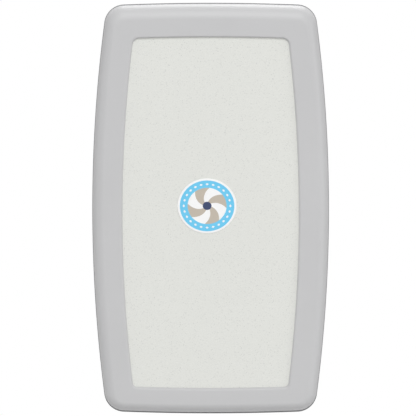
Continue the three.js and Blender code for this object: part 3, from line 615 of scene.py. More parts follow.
# Closed loft of a small flat section whose outer corners are eased
def makeShadowLineSeal():
    out, rooted, ease = shadowLineSeal["out"], shadowLineSeal["rooted"], shadowLineSeal["ease"]
    low, high = (bedFrame["grooveReach"] + reach for reach in shadowLineSeal["reach"])
    return loftPiece("shadowLineSeal", [
        around(bedFrame["step"], rooted, low), station(low, out + ease), station(low + ease, out),
        station(high - ease, out), station(high, out + ease), around(bedFrame["step"], rooted, high),
    ], closed=True)


# Front panel: off-white plate behind the lip with an eased edge and ribs on its hidden side (mm)
frontPanel = {
    "front": 143.7, "back": 139.7, "margin": 10.0, "corners": (21.0, 17.0), "ease": 1.0,
    "ribDepth": 8.0, "ribHalf": 1.5, "ribHeights": (-240, -80, 80, 240), "ribSides": (-90, 90),
    "ribEnds": (150, 300),
}


# Loft from back to front whose insets and corners shrink by the ease at both faces, plus crossed rib prisms
def makeFrontPanel():
    look = frontPanel
    front, back, ease, half = look["front"], look["back"], look["ease"], look["ribHalf"]
    slim = [(2.5 * ease, 0, 2.0), (ease, 0, 1.0), (0.3 * ease, 0.3 * ease, 0.3), (0, ease, 0)]
    rows = [(drawn, back + rise, tight) for drawn, rise, tight in slim]
    rows += [(drawn, front - rise, tight) for drawn, rise, tight in slim[::-1]]
    top, bottom = look["corners"]
    plate = loftPiece("frontPanel", [
        around(bedFrame["panelEdge"], drawn - look["margin"], reach, top - tight, bottom - tight)
        for drawn, reach, tight in rows
    ])
    across, up = look["ribEnds"]
    outlines = [(rectangle(-across, across, z - half, z + half, 1), 0.01) for z in look["ribHeights"]]
    outlines += [(rectangle(x - half, x + half, -up, up, 1), 0.02) for x in look["ribSides"]]
    ribs = [prism("rib", outline, back - look["ribDepth"], back - gap) for outline, gap in outlines]
    return gather(plate, *ribs)


# Badge: shallow dome over an oval (mm)
badge = {"foot": 144.0, "rise": 1.5, "crown": 0.5, "rim": 1.0, "steps": 24, "segments": 160}


# Dome: height = rise - crown * (r / radius) squared inside a quarter-round rim, turned about y and then
# squeezed in z to the oval's height
def makeBadge():
    look = badge
    radius, halfHeight = badgePrint["half"]
    turn = np.linspace(0, math.pi / 2, 8)
    edge = np.stack([radius - look["rim"] + np.cos(turn), 0.1 + 0.9 * np.sin(turn)], axis=1)
    across = np.linspace(radius - look["rim"], 0, look["steps"])[1:]
    dome = np.stack([across, look["rise"] - look["crown"] * (across / radius) ** 2], axis=1)
    profile = np.concatenate([[[0, 0], [radius - 0.6, 0]], edge, dome])
    piece = turnedPiece("frontBadge", profile, (0, 0, 0), (0, -1, 0), look["segments"])
    places = np.empty(len(piece.data.vertices) * 3)
    piece.data.vertices.foreach_get("co", places)
    places = places.reshape(-1, 3) * np.array([1, 1, halfHeight / radius])
    x, z = badgePrint["centre"]
    places += np.array([x, -look["foot"], z]) * mm
    piece.data.vertices.foreach_set("co", places.ravel())
    return piece


# Changing tray: concave bed with bays for the arms and slots for the strap (mm);
# slope rows are reach, side inset, top inset, bottom inset, corner; rim rows are reach, inset
changingTray = {
    "skin": 4.0, "smooth": 7,
    "slope": (
        (71.0, 32, 34, 32, 34), (73.4, 42, 46, 44, 38), (80, 52, 58, 56, 44), (92, 64, 72, 70, 52),
        (104, 76, 86, 84, 58), (110.5, 88, 100, 98, 62), (113.4, 104, 118, 116, 62),
        (116, 160, 200, 200, 60),
    ),
    "rim": ((75, 6.2), (74.7, 5.6), (74.2, 5.4), (72, 5.4), (71.3, 5.8), (71, 6.6), (71, 7.6), (71, 20)),
    "bay": (154, 207, -439, -341, 10), "strapSlot": (171, 175, -21, 21, 2),
}


# Capped loft: the slope's smooth stations, the same ones a skin deeper, and a rounded rim; then cut through
def makeChangingTray():
    look = changingTray
    upper = smoothStations([station(*row) for row in look["slope"]], look["smooth"])
    under = [(reach + look["skin"], *insets) for reach, *insets in upper[::-1]]
    rim = [station(*row) for row in look["rim"]]
    tray = loftPiece("changingTray", [*under, *rim, *upper], sharpAngle=50)
    for key in ("bay", "strapSlot"):
        cutBothSides(tray, rectangle(*look[key]), 60, 135)
    return finishShading(tray, 50)


dress(makeBedFrame(), "grey", "bed", "grey_plastic", "bed_frame")
# the seal strip's dark grey is painted shade: the shadow line of the gap round the frame
dress(makeShadowLineSeal(), "paintedShadowSeal", "bed", "rubber")
dress(makeFrontPanel(), "granite", "bed", "granite_plastic", "front_panel")
dress(makeBadge(), "badge", "bed", "badge_print", "front_badge")
dress(makeChangingTray(), "granite", "bed", "granite_plastic", "changing_tray")
print("bed shells ready")


# Wall housing: deep moulded tray with a rounded rim, ribbed behind and notched for the hinges (mm);
# boxes are x from, x to, z from, z to, corner radius; side rows are reach, inset; floor, mouth and recess
# rows are insets at the sides, top and bottom, then the corner, with the reach first for mouth and recess
wallHousing = {
    "back": (14.0, 18.0), "front": 68.0, "rim": 8.0, "rimInset": 2.5, "rimSteps": 12,
    "sideRows": ((0.4, 8), (1.0, 7.4), (20, 4)), "recess": ((-1, 15, 15, 9, 26), (14, 18, 18, 10, 24)),
    "floorRound": 4.0, "floorRows": ((30, 30, 14, 22), (27, 27, 11, 24), (23, 23, 8.5, 26)),
    "mouth": ((61, 18.8, 18.8, 7.7, 26.8), (66.5, 18.0, 18.0, 7.6, 27), (71, 15.6, 15.6, 6.5, 28)),
    "bay": (154, 216, -479, -343, 8), "gap": (154, 216, -431, -343, 8), "scoop": (-70, 70, 443, 487, 10),
    "hinge": (50.5, -439.0), "hingeRoll": 17.5, "bumper": (226.94, 380.0), "seatRadius": 3.5,
    "sideRibs": (-250, -125, 0, 125, 250), "sideRibFrom": 144, "ribHalf": 1.5, "ribRound": 0.8,
    "uprightRibs": ((70, 2.8, -310, 336), (120, 0.8, 352, 446)),
}


# Hollow to cut: a flat floor, rows that go from one to the next round a quarter circle, then the mouth
def makeHousingHollow():
    look = wallHousing
    back, soft = look["back"][1], look["floorRound"]
    flat, near, far = np.array(look["floorRows"])
    bend = np.linspace(0, math.pi / 2, 7)
    floor = [station(back + soft * (1 - math.cos(t)), *(near + (far - near) * math.sin(t))) for t in bend]
    return loftPiece("cutter", [station(back, *flat), *floor, *[station(*row) for row in look["mouth"]]])


# Ribs behind the floor: side ribs end on the bowed wall, x = 251 - z squared / 6400; four are upright
def makeHousingRibs():
    look = wallHousing
    half, deep, soft = look["ribHalf"], look["back"][0] - 0.02, look["ribRound"]
    boxes = [(look["sideRibFrom"], 251 - z * z / 6400, 0.8, z - half, z + half) for z in look["sideRibs"]]
    boxes += [(x - half, x + half, *rest) for x, *rest in look["uprightRibs"]]
    ribs = []
    for low, high, start, bottom, top in boxes:
        for left, right in ((low, high), (-high, -low)):
            ribs.append(prism("rib", rectangle(left, right, bottom, top, soft), start, deep, ease=0.3))
    return ribs


# Capped loft with a quarter-round rim, less the hollow, a shallow back, hinge bays, a round hinge relief,
# the finger scoop and the bumper seats
def makeWallHousing():
    look = wallHousing
    turn = np.linspace(0, math.pi / 2, look["rimSteps"] + 1)
    rim = [station(look["front"] - look["rim"] * (1 - math.sin(t)),
                   look["rimInset"] + look["rim"] * (1 - math.cos(t))) for t in turn]
    housing = loftPiece("wallHousing", [*[station(*row) for row in look["sideRows"]], *rim])
    combine(housing, makeHousingHollow())
    combine(housing, loftPiece("cutter", [station(*row) for row in look["recess"]]))
    for key, low, high in (("bay", 21, 72), ("gap", 10, 40)):
        cutBothSides(housing, rectangle(*look[key]), low, high)
    reach, height = look["hinge"]
    arc = np.linspace(0, -math.pi / 2, 19)
    curve = np.stack([np.cos(arc), np.sin(arc)], axis=1) * look["hingeRoll"] + look["hinge"]
    relief = [[[reach + 60, height]], curve, [[reach, height - 60], [reach + 60, height - 60]]]
    cut(housing, np.concatenate(relief), -300, 300, "side")
    cut(housing, rectangle(*look["scoop"]), 52, 72)
    x, z = look["bumper"]
    for sign in (1, -1):
        combine(housing, pinPiece("cutter", look["seatRadius"], 64, 70, (sign * x, 0, z), (0, -1, 0)))
    return gather(finishShading(housing, 42), *makeHousingRibs())


# Liner bin: open-fronted box with a low front lip, thumb notch, tapered sides and eyes for its door (mm)
linerBin = {
    "half": 172.0, "bottom": 172.0, "top": 352.0, "back": 18.3, "front": 54.0, "wall": 2.5,
    "notch": (-38, 38, 152, 202, 14), "pivot": (47.0, 196.0), "eye": 4.6,
}


# Eased prism less a smaller one, plus the lip, less the notch, the sides' taper and the eyes' bore
def makeLinerBin():
    look = linerBin
    half, wall, bottom, top = look["half"], look["wall"], look["bottom"], look["top"]
    back, front = look["back"], look["front"]
    piece = prism("linerBin", rectangle(-half, half, bottom, top, 7), back, front, ease=1.0)
    inner = rectangle(wall - half, half - wall, bottom + wall, top + 12, 6)
    cut(piece, inner, back + wall, front + 6)
    lip = rectangle(1 - half, half - 1, bottom + 1, bottom + 8, 2)
    combine(piece, prism("lip", lip, front - 2.2, front - 0.05, ease=0.6), "UNION")
    cut(piece, rectangle(*look["notch"]), back + 18, front + 2)
    taper = [(front - 14, top + 1), (front + 4, top + 1), (front + 4, bottom + 90)]
    cut(piece, taper, -half - 2, half + 2, "side")
    reach, height = look["pivot"]
    combine(piece, pinPiece("cutter", look["eye"], -half - 2, half + 2, (0, -reach, height), (1, 0, 0)))
    return finishShading(piece, 40)


# Liner door: eased plate with a raised border, finger scoop, side webs, ribs behind and trunnions (mm);
# border rows are margin, corner radius
linerDoor = {
    "half": 166.0, "bottom": 188.0, "top": 349.0, "face": (48.5, 52.0), "scoop": (-45, 45, 333, 369, 14),
    "border": ((6, 8), (12, 6)), "borderTop": 333.0, "borderRise": 1.2, "ribs": (233, 278), "trunnion": 4.0,
}


# Raised border: an outer rounded rectangle less an inner one
def makeDoorBorder():
    look = linerDoor
    half, bottom, top, front = look["half"], look["bottom"], look["borderTop"], look["face"][1]
    outer, inner = (rectangle(m - half, half - m, bottom + m, top - m, r) for m, r in look["border"])
    border = prism("border", outer, front - 0.5, front + look["borderRise"], ease=0.45)
    cut(border, inner, front - 3, front + 4)
    return finishShading(border, 40)


# Plate prism less the scoop, gathered with its border, side webs, trunnions and ribs
def makeLinerDoor():
    look = linerDoor
    half, bottom, top = look["half"], look["bottom"], look["top"]
    back, front = look["face"]
    plate = prism("linerDoor", rectangle(-half, half, bottom, top, 8), back, front, ease=0.9)
    cut(plate, rectangle(*look["scoop"]), back - 10, front + 5)
    finishShading(plate, 40)
    web = roundedOutline([(back - 8, bottom + 2), (back + 1, bottom + 1), (back + 1, top - 10),
                          (back - 3, top - 10)], 3)
    reach, height = linerBin["pivot"]
    extras = [makeDoorBorder()]
    for sign in (1, -1):
        x = sign * (half - 2)
        extras.append(prism("web", web, x - 1.2, x + 1.2, plane="side", ease=0.3))
        low, high = sorted((x, sign * (linerBin["half"] - 0.6)))
        pivot = (0, -reach, height)
        extras.append(pinPiece("trunnion", look["trunnion"], low, high, pivot, (1, 0, 0), ease=0.4))
    for z in look["ribs"]:
        extras.append(prism("rib", rectangle(4 - half, half - 4, z, z + 2, 0.8), back - 2.5, back + 0.5))
    return gather(plate, *extras)


# Liner stack: folded sheets side by side (mm)
linerStack = {
    "sheets": 15, "reach": (22.0, 43.0), "bottom": 175.0, "height": 154.5, "half": 156.5, "seed": 11,
}


# Each sheet is a thin rounded slab whose top and ends stray a little at random
def makeLinerStack():
    look = linerStack
    chance = np.random.default_rng(look["seed"])
    low, high = look["reach"]
    pitch = (high - low) / look["sheets"]
    sheets = []
    for i in range(look["sheets"]):
        reach = low + i * pitch
        top = look["bottom"] + look["height"] + chance.uniform(-2.5, 1.2)
        left, right = look["half"] + chance.uniform(-2.0, 1.2, 2)
        outline = rectangle(-left, right, look["bottom"] + chance.uniform(0, 0.8), top, 1.5)
        sheets.append(prism(f"sheet{i}", outline, reach + 0.06, reach + pitch - 0.06, ease=0.55))
    sheets[0].name = "linerStack"
    return gather(*sheets)


# Bag hook: screwed base plate with a curled arm of even width (mm); arm corners are reach, z, radius
bagHook = {
    "x": 105.0, "foot": 18.3, "base": (17.0, 34.0, 106.0, 10.0), "baseThick": 4.0, "armHalf": 8.0,
    "arm": (
        (2, 52, 1), (22, 44, 12), (40, 52, 14), (44, 84, 4),
        (38, 84, 3), (33, 60, 10), (22, 55, 8), (2, 76, 1),
    ),
}


# Eased prisms: the base in the front plane, the arm's rounded outline in the side plane
def makeBagHook():
    look = bagHook
    half, bottom, top, radius = look["base"]
    x, foot, arm = look["x"], look["foot"], look["armHalf"]
    plate = rectangle(x - half, x + half, bottom, top, radius)
    base = prism("bagHook", plate, foot, foot + look["baseThick"], ease=1.0)
    outline = roundedOutline([(foot + reach, z, corner) for reach, z, corner in look["arm"]], 4, steps=10)
    return gather(base, prism("arm", outline, x - arm, x + arm, plane="side", ease=1.6, sharpAngle=45))


# Pan-head screws in pairs, on faces that look into the room: x, reach, z (mm)
screwHeads = {
    "size": 4.0,
    "housing": ((125, 18.0, -300), (125, 18.0, -110), (125, 18.0, 140)),
    "hooks": ((105, 22.3, 42), (105, 22.3, 97)),
    "bin": ((120, 20.8, 340),),
}


# Washer, domed head by a quarter circle and a round socket, turned about y; all in shares of the size
def makeScrew(x, reach, z):
    turn = np.linspace(0, math.pi / 2, 7)
    dome = np.stack([0.5 + 0.5 * np.cos(turn), 0.25 + 0.35 * np.sin(turn)], axis=1)
    washer = [[0, 0.005], [1.45, 0.005], [1.45, 0.16], [1, 0.2]]
    socket = [[0.48, 0.58], [0.46, 0.3], [0, 0.3]]
    profile = np.concatenate([washer, dome, socket]) * screwHeads["size"]
    return turnedPiece("screw", profile, (x, -reach, z), (0, -1, 0), 24)


# All the screw heads in one piece
def makeScrewHeads():
    places = [place for group in ("housing", "hooks", "bin") for place in screwHeads[group]]
    screws = [makeScrew(sign * x, reach, z) for x, reach, z in places for sign in (1, -1)]
    screws[0].name = "housingScrews"
    return gather(*screws)


dress(makeWallHousing(), "grey", "wall_unit", "grey_plastic", "wall_housing")
dress(makeLinerBin(), "grey", "wall_unit", "grey_plastic", "liner_bin")
dress(makeLinerDoor(), "grey", "liner_door", "grey_plastic", "liner_door")
dress(makeLinerStack(), "paper", "wall_unit", "paper", "liner_stack")
hook = makeBagHook()
dress(mirrored(hook, "bagHookLeft"), "grey", "wall_unit", "grey_plastic", "bag_hook_left")
dress(hook, "grey", "wall_unit", "grey_plastic", "bag_hook_right")
dress(makeScrewHeads(), "zinc", "wall_unit", "zinc_steel")
print("wall unit ready")


# Gas struts: cylinder with a crimped neck and a bright rod, each with a bored eye (mm); wall and bed are
# the pivots as reach, z; collar and foot rows are radius and distance from the pivot, neck rows how far
# inside the radius and short of the mouth; the shoulder is first radius, end and length, the hollow is
# the gap round the rod and its floor
strut = {
    "x": 171.0, "wall": (13.0, -372.896), "bed": (112.5, -395.046), "eyeX": (161.0, 181.0),
    "eyeRadius": 8.0, "bore": 4.6, "radius": 9.0, "rod": 4.0, "body": 82.0, "rodLength": 86.94,
    "neck": ((0, 11), (0.9, 9.6), (0.9, 8.4), (0, 7), (0, 2.2), (0.6, 0.8), (1.8, 0)),
    "collar": ((0, 5), (4.9, 5), (5.5, 5.6), (5.5, 9.2), (4.9, 9.8), (4.0, 10.2)),
    "foot": ((0, 6.5), (5, 6.5)), "shoulder": (6.0, 11.0, 4.0), "hollow": (0.9, 40.0),
}


# Bored eye about a pivot: ring profile with eased rims, turned about the x axis
def makeEye(pivot):
    low, high = strut["eyeX"]
    outer, bore = strut["eyeRadius"], strut["bore"]
    near = [(outer - 1, low), (outer - 0.3, low + 0.3), (outer, low + 1)]
    far = [(outer, high - 1), (outer - 0.3, high - 0.3), (outer - 1, high)]
    profile = [(bore, low), *near, *far, (bore, high), (bore, low)]
    return turnedPiece("eye", profile, (0, -pivot[0], pivot[1]), (1, 0, 0), 40)


# Profiles of radius over distance from a pivot, turned about the line between the pivots;
# the cylinder's shoulder is a quarter ellipse
def makeStrut():
    wall, bed, x = strut["wall"], strut["bed"], strut["x"]
    line = np.array([0, -(bed[0] - wall[0]), bed[1] - wall[1]])
    r, rod, body, end = strut["radius"], strut["rod"], strut["body"], strut["rodLength"]
    start, height, rise = strut["shoulder"]
    bend = np.linspace(0, math.pi / 2, 6)
    shoulder = [(start + (r - start) * math.sin(b), height - rise * math.cos(b)) for b in bend]
    neck = [(r - inside, body - short) for inside, short in strut["neck"]]
    gap, floor = strut["hollow"]
    hollow = [(rod + gap, body), (rod + gap, floor), (0, floor)]
    tube = [*strut["foot"], *shoulder, *neck, *hollow]
    cylinder = turnedPiece("strutCylinder", tube, (x, -wall[0], wall[1]), line, 48)
    stem = [*strut["collar"], (rod, end - 1), (rod - 1, end), (0, end)]
    rodPiece = turnedPiece("strutRod", stem, (x, -bed[0], bed[1]), -line, 40)
    return gather(cylinder, makeEye(wall)), gather(rodPiece, makeEye(bed))


# Reach of the tray's face across the middle of the bed, straight between the slope's given stations
def trayReach(x):
    inset = barrel["width"] / 2 - np.abs(x)
    reaches, insets = np.array(changingTray["slope"])[:, :2].T
    return np.interp(inset, insets, reaches)


# Safety strap: woven ribbon from the buckle along the tray, round the anchor's bar and back under
# itself, with a boxed and crossed seam (mm); paths are x, reach and seams run from x, z to x, z
strap = {
    "width": 38.0, "thickness": 1.3, "lift": 0.75, "doubled": 1.35, "tailEnd": 104.0, "columns": 14,
    "bar": (
        (136, 111.9), (140, 111.6), (142.6, 110.2), (143.5, 108.7), (145.4, 107.9),
        (147.3, 108.4), (148.6, 110.2), (148.4, 112.2), (147.0, 113.15), (144, 113.2),
    ),
    "start": {
        "right": ((8, 111.75), (22, 111.75), (27, 112.1), (31, 114.0), (36, 115.2)),
        "left": ((19, 111.75), (24, 111.8), (27, 112.1), (31, 114.0), (36, 115.2)),
    },
    "seams": (
        ((108, -15), (108, 15)), ((131, -15), (131, 15)), ((108, -15), (131, -15)),
        ((108, 15), (131, 15)), ((109, -14), (130, 14)), ((109, 14), (130, -14)),
    ),
    "stitchPitch": 3.4, "stitch": (1.9, 0.55, 0.35),
}


# Ribbon: a flat rounded section, width along z, carried along a path in (x, reach); UV is length over width
def makeRibbon(name, path):
    half, thick = strap["width"] / 2, strap["thickness"] / 2
    across = np.linspace(-1, 1, strap["columns"])
    edge = np.linspace(-math.pi / 2, math.pi / 2, 5)[1:-1]
    upper = np.stack([across * (half - thick), np.full(len(across), thick)], axis=1)
    right = np.stack([half - thick + thick * np.cos(edge), -thick * np.sin(edge)], axis=1)
    section = np.concatenate([upper, right, -upper, -right])
    along = np.gradient(path, axis=0)
    along /= np.linalg.norm(along, axis=1, keepdims=True)
    normal = np.stack([along[:, 1], -along[:, 0]], axis=1)
    flat = path[:, None, :] + normal[:, None, :] * section[None, :, 1:2]
    z = np.repeat(section[None, :, 0], len(path), 0)
    verts = np.stack([flat[..., 0], -flat[..., 1], z], axis=-1).reshape(-1, 3) * mm
    count = len(section)
    faces = gridFaces(len(path), count, False, True) + endFaces(len(path), count)
    piece = finishShading(meshFromArrays(name, verts, faces), 60)
    steps = np.linalg.norm(np.diff(path, axis=0), axis=1)
    travelled = np.concatenate([[0], np.cumsum(steps)]) / strap["width"]
    spread = (section[:, 0] / half + 1) / 2
    corners = np.empty(len(piece.data.loops), dtype=np.int32)
    piece.data.loops.foreach_get("vertex_index", corners)
    layer = piece.data.uv_layers.new(name="weave")
    uv = np.stack([travelled[corners // count], spread[corners % count]], axis=1)
    layer.data.foreach_set("uv", uv.ravel())
    return piece


# Stitches: bars of the stitch's size, narrowed to 0.6 at the top, evenly spaced along each seam
def makeStitches(name):
    bars = []
    for start, end in np.array(strap["seams"], dtype=float):
        length = np.linalg.norm(end - start)
        count = max(int(length / strap["stitchPitch"]), 1)
        middle = (np.arange(count)[:, None] + 0.5) / count
        bars.append((start + (end - start) * middle, np.repeat((end - start)[None] / length, count, 0)))
    centre, ahead = (np.concatenate(rows) for rows in zip(*bars))
    side = np.stack([-ahead[:, 1], ahead[:, 0]], axis=1)
    long, wide, high = strap["stitch"]
    reach = trayReach(centre[:, 0]) - strap["lift"] - strap["doubled"] - strap["thickness"] / 2
    signs = np.array([(a, b, c) for a in (-1, 1) for b in (-1, 1) for c in (-0.2, 1)], dtype=float)
    narrow = np.where(signs[None, :, 2:3] > 0, 0.6, 1.0)
    flat = centre[:, None] + ahead[:, None] * signs[None, :, 0:1] * long / 2
    flat = flat + side[:, None] * signs[None, :, 1:2] * wide / 2 * narrow
    level = reach[:, None] - signs[None, :, 2] * high
    verts = np.stack([flat[..., 0], -level, flat[..., 1]], axis=-1).reshape(-1, 3) * mm
    cube = np.array([(0, 1, 3, 2), (4, 6, 7, 5), (0, 4, 5, 1), (2, 3, 7, 6), (0, 2, 6, 4), (1, 5, 7, 3)])
    faces = (cube[None] + 8 * np.arange(len(centre))[:, None, None]).reshape(-1, 4).tolist()
    return finishShading(meshFromArrays(name, verts, faces), 30)


# Path: from the buckle along the tray, lifted by a smooth step where it is doubled, round the bar and back;
# a cubic goes through its points, each tangent half the way between the neighbours
def makeStrapHalf(side):
    middle = np.linspace(46, 132, 24)
    doubled = np.clip((middle - 100) / 12, 0, 1)
    doubled = doubled * doubled * (3 - 2 * doubled) * strap["doubled"]
    lying = np.stack([middle, trayReach(middle) - strap["lift"] - doubled], axis=1)
    back = np.linspace(138, strap["tailEnd"], 9)
    tail = np.stack([back, trayReach(back) - strap["lift"] + 0.02], axis=1)
    points = np.concatenate([strap["start"][side], lying, strap["bar"], tail])
    path = hermite(points, np.gradient(points, axis=0), 5)
    ending = side.capitalize()
    return makeRibbon(f"strap{ending}", path), makeStitches(f"stitches{ending}")


# Strap anchor: steel loop with a tongue that bends down through the tray's slot (mm);
# boxes are x from, x to, z from, z to, corner radius; roots are x, reach from the floor
anchor = {
    "floor": 112.47, "loop": (144, 163, -24, 24, 4), "pad": (144, 159, -24, 24, 4),
    "slot": (147, 153, -19.5, 19.5, 1), "tongueHalf": 16.0, "tongueSteps": 8, "bend": 169.4, "tip": 117.0,
    "outer": {"radius": 4.4, "rise": 3.0, "roots": ((161, -1.9), (165, -2.6))},
    "inner": {"radius": 2.6, "rise": 1.2, "roots": ((161, -0.2), (165, -0.8))},
}


# One side of the tongue: its roots, a quarter circle and the tip
def tongueSide(look):
    turn = np.linspace(0, math.pi / 2, anchor["tongueSteps"])
    arc = np.stack([np.sin(turn), 1 - np.cos(turn)], axis=1) * look["radius"]
    roots = np.array(look["roots"]) + (0, anchor["floor"])
    tip = [[anchor["bend"] + look["radius"], anchor["tip"]]]
    return np.concatenate([roots, arc + (anchor["bend"], anchor["floor"] - look["rise"]), tip])


# Eased loop and pad joined, less the slot; the tongue's outline goes out by one side and back by the other
def makeAnchor():
    floor = anchor["floor"]
    loop = prism("strapAnchor", rectangle(*anchor["loop"]), floor - 2, floor, ease=0.3)
    combine(loop, prism("pad", rectangle(*anchor["pad"]), floor - 3.6, floor - 1, ease=0.5), "UNION")
    cut(loop, rectangle(*anchor["slot"]), floor - 6, floor + 2)
    finishShading(loop, 35)
    outline = np.concatenate([tongueSide(anchor["outer"]), tongueSide(anchor["inner"])[::-1]])
    half = anchor["tongueHalf"]
    return gather(loop, prism("tongue", outline, -half, half, plane="top", ease=0.3))


# Buckle: base plate, two cheeks and a ridged cam lever on a pin along z (mm); pivot is x, reach, and
# the outlines' corners are x and reach from it, then the radius
buckle = {
    "half": (27.0, 24.0), "floor": 115.2, "base": 2.7, "cheekThick": 3.0, "gap": 3.5,
    "pivot": (-12.0, 106.5), "bore": 2.9, "ridges": (18.0, 22.0, 26.0, 30.0),
    "cheek": ((-13, 7.7, 1), (23, 7.7, 1), (17, -2.5, 6), (8, -5.5, 5), (-6, -5.5, 6), (-13, -1.5, 5)),
    "lever": (
        (-5.2, -3.4, 2), (1, -6.4, 5), (9, -5.0, 6), (35, -3.4, 5), (40, -3.8, 2),
        (40, -1.0, 1.5), (24, 0.5, 5), (8, 2.8, 4), (3, 4.6, 2), (-5.4, 4.4, 3),
    ),
}


# Rounded outline whose corners are given from the pivot
def buckleOutline(corners):
    x, reach = buckle["pivot"]
    placed = [(x + across, reach + deep, radius) for across, deep, radius in corners]
    return roundedOutline(placed, 1, steps=8)


# Bore for the buckle's pin: cylinder along z between two heights, about the pivot
def buckleBore(low, high):
    x, reach = buckle["pivot"]
    return pinPiece("cutter", buckle["bore"], low, high, (x, -reach, 0), (0, 0, 1), 24)


# Eased base prism gathered with two cheeks, each a rounded outline's prism less its bore
def makeBuckleBody():
    long, wide = buckle["half"]
    floor, thick = buckle["floor"], buckle["cheekThick"]
    plate = rectangle(-long, long, -wide, wide, 5)
    body = prism("buckleBody", plate, floor - buckle["base"], floor, ease=0.7)
    outline = buckleOutline(buckle["cheek"])
    cheeks = []
    for low in (-wide, wide - thick):
        cheek = prism("cheek", outline, low, low + thick, plane="top", ease=0.6)
        combine(cheek, buckleBore(low - 2, low + 6))
        cheeks.append(finishShading(cheek, 35))
    return gather(body, *cheeks)


# Rounded lever outline's prism along z less its bore; low ridges stand on the straight line of its top
def makeBuckleCam():
    x, reach = buckle["pivot"]
    half = buckle["half"][1] - buckle["gap"]
    lever = buckleOutline(buckle["lever"])
    cam = prism("buckleCam", lever, -half, half, plane="top", ease=0.9, sharpAngle=45)
    combine(cam, buckleBore(-half - 2, half + 2))
    finishShading(cam, 45)
    (near, high, _), (far, low, _) = buckle["lever"][2:4]
    ridges = []
    for across in buckle["ridges"]:
        spot = x + across
        level = reach + high + (across - near) * (low - high) / (far - near)
        foot, crown = level + 0.4, level - 0.5
        bar = [(spot - 0.9, foot), (spot - 0.4, crown), (spot + 0.4, crown), (spot + 0.9, foot)]
        ridges.append(prism("ridge", bar, -half + 3, half - 3, plane="top", ease=0.3))
    return gather(cam, *ridges)


cylinder, rodPiece = makeStrut()
strutLooks = ((cylinder, "cylinder", "blackSteel", "dark_steel"), (rodPiece, "rod", "chrome", "zinc_steel"))
for piece, kind, look, slotName in strutLooks:
    dress(mirrored(piece, piece.name + "Left"), look, f"{kind}_left", slotName, f"strut_{kind}_left")
    dress(piece, look, f"{kind}_right", slotName, f"strut_{kind}_right")
for side in ("right", "left"):
    ribbon, stitches = makeStrapHalf(side)
    if side == "left":
        ribbon, stitches = (turnOver(piece) for piece in (ribbon, stitches))
    dress(ribbon, "webbing", "bed", "webbing", f"strap_{side}")
    dress(stitches, "thread", "bed", "webbing")
holder = makeAnchor()
dress(mirrored(holder, "strapAnchorLeft"), "zinc", "bed", "zinc_steel", "strap_anchor_left")
dress(holder, "zinc", "bed", "zinc_steel", "strap_anchor_right")
dress(makeBuckleBody(), "acetal", "bed", "black_plastic", "buckle_body")
dress(makeBuckleCam(), "acetal", "buckle_cam", "black_plastic", "buckle_cam")
print("moving pieces ready")


# CAD nodes that keep their own shape take better materials for their slots
nodeLooks = {
    "grey_plastic": "grey", "granite_plastic": "granite", "zinc_steel": "zinc", "dark_steel": "blackSteel",
    "white_nylon": "nylon", "black_plastic": "acetal", "webbing": "webbing", "paper": "paper",
    "rubber": "rubber", "badge_print": "badge",
}
for part in frame["record"]["subparts"]:
    shown = nodes[part["node"]].data
    shown.materials.clear()
    shown.materials.append(materials[nodeLooks[part["material_slot"]]])

# Stage: pale round floor below the object, white to the camera, plus the photo's soft light (m, W)
stage = {
    "floorRadius": 4.0, "floorHeight": -0.95, "floorSides": 96, "floorColour": tone(215, 215, 215),
    "floorRoughness": 0.9, "floorGlow": 0.33, "ambient": 0.47, "mirrored": 0.85,
    "lamps": {
        "rim": {"place": (0.8, 4.2, 8.8), "size": 4.0, "power": 400.0},
        "key": {"place": (0.3, -12.2, 9.2), "size": 7.0, "power": 1045.0},
        "right": {"place": (10.6, -4.6, 1.0), "size": 5.0, "power": 170.0},
        "left": {"place": (-11.0, -3.2, 1.0), "size": 5.0, "power": 60.0},
    },
    "target": (0.0, -0.13, 0.0),
}
white = (1.0, 1.0, 1.0, 1.0)


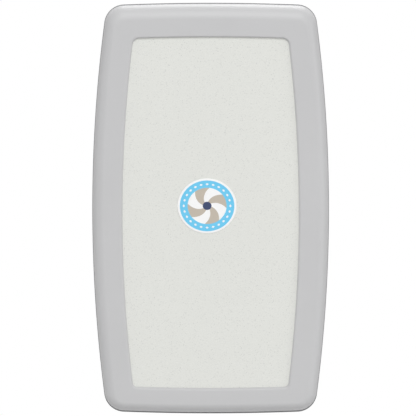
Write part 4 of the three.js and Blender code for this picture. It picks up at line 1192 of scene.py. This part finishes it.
# Floor: one face on a ring, radius times cosine and sine; it glows to camera rays alone
def makeFloor():
    sides = stage["floorSides"]
    turn = np.linspace(0, 2 * math.pi, sides, endpoint=False)
    ring = np.stack([np.cos(turn), np.sin(turn), np.zeros(sides)], axis=1) * stage["floorRadius"]
    floor = meshFromArrays("floor", ring + np.array([0, 0, stage["floorHeight"]]), [list(range(sides))])
    material, tree, shader = newMaterial("paleFloor")
    rays = node(tree, "ShaderNodeLightPath")
    glow = maths(tree, "MULTIPLY", rays.outputs["Is Camera Ray"], stage["floorGlow"])
    feed(tree, shader, {
        "Base Color": stage["floorColour"], "Roughness": stage["floorRoughness"],
        "Emission Color": white, "Emission Strength": glow,
    })
    floor.data.materials.append(material)


# World: white to camera and glass rays, a little less to mirror rays, an ambient level to the rest;
# the strength is the largest of the three
def makeWorld():
    world = bpy.data.worlds.new("studio")
    world.use_nodes = True
    tree = world.node_tree
    rays = node(tree, "ShaderNodeLightPath")
    glossy = maths(tree, "MULTIPLY", rays.outputs["Is Glossy Ray"], stage["mirrored"])
    seen = maths(tree, "MAXIMUM", rays.outputs["Is Camera Ray"], rays.outputs["Is Transmission Ray"])
    level = maths(tree, "MAXIMUM", maths(tree, "MAXIMUM", seen, glossy), stage["ambient"])
    feed(tree, tree.nodes["Background"], {"Color": white, "Strength": level})
    bpy.context.scene.world = world


# Square area lamp whose z axis points away from the target
def makeLamp(name, look):
    lamp = bpy.data.lights.new(name, "AREA")
    lamp.energy = look["power"]
    lamp.size = look["size"]
    holder = bpy.data.objects.new(name, lamp)
    holder.location = look["place"]
    away = Vector(look["place"]) - Vector(stage["target"])
    holder.rotation_euler = away.to_track_quat("Z", "Y").to_euler()
    bpy.context.scene.collection.objects.link(holder)


# Camera square to the front at the photo's scale (lens and sensor in mm, places in m)
photo = {
    "lens": 600.0, "sensor": 36.0, "plane": -0.12, "mmPerPixel": 2.2252, "pixels": 416,
    "x": -0.0059, "z": 0.0002,
}


# Distance from the plane = lens / sensor * picture width at the plane
def makeCamera():
    camera = bpy.data.cameras.new("photoView")
    camera.lens = photo["lens"]
    camera.sensor_width = photo["sensor"]
    camera.clip_end = 100
    holder = bpy.data.objects.new("photoView", camera)
    width = photo["mmPerPixel"] * photo["pixels"] * mm
    holder.location = (photo["x"], photo["plane"] - photo["lens"] / photo["sensor"] * width, photo["z"])
    holder.rotation_euler = (math.pi / 2, 0, 0)
    bpy.context.scene.collection.objects.link(holder)
    bpy.context.scene.camera = holder


makeFloor()
makeWorld()
for lampName, lampLook in stage["lamps"].items():
    makeLamp(lampName, lampLook)
makeCamera()
bpy.context.scene.view_settings.view_transform = "Standard"
print("stage ready")
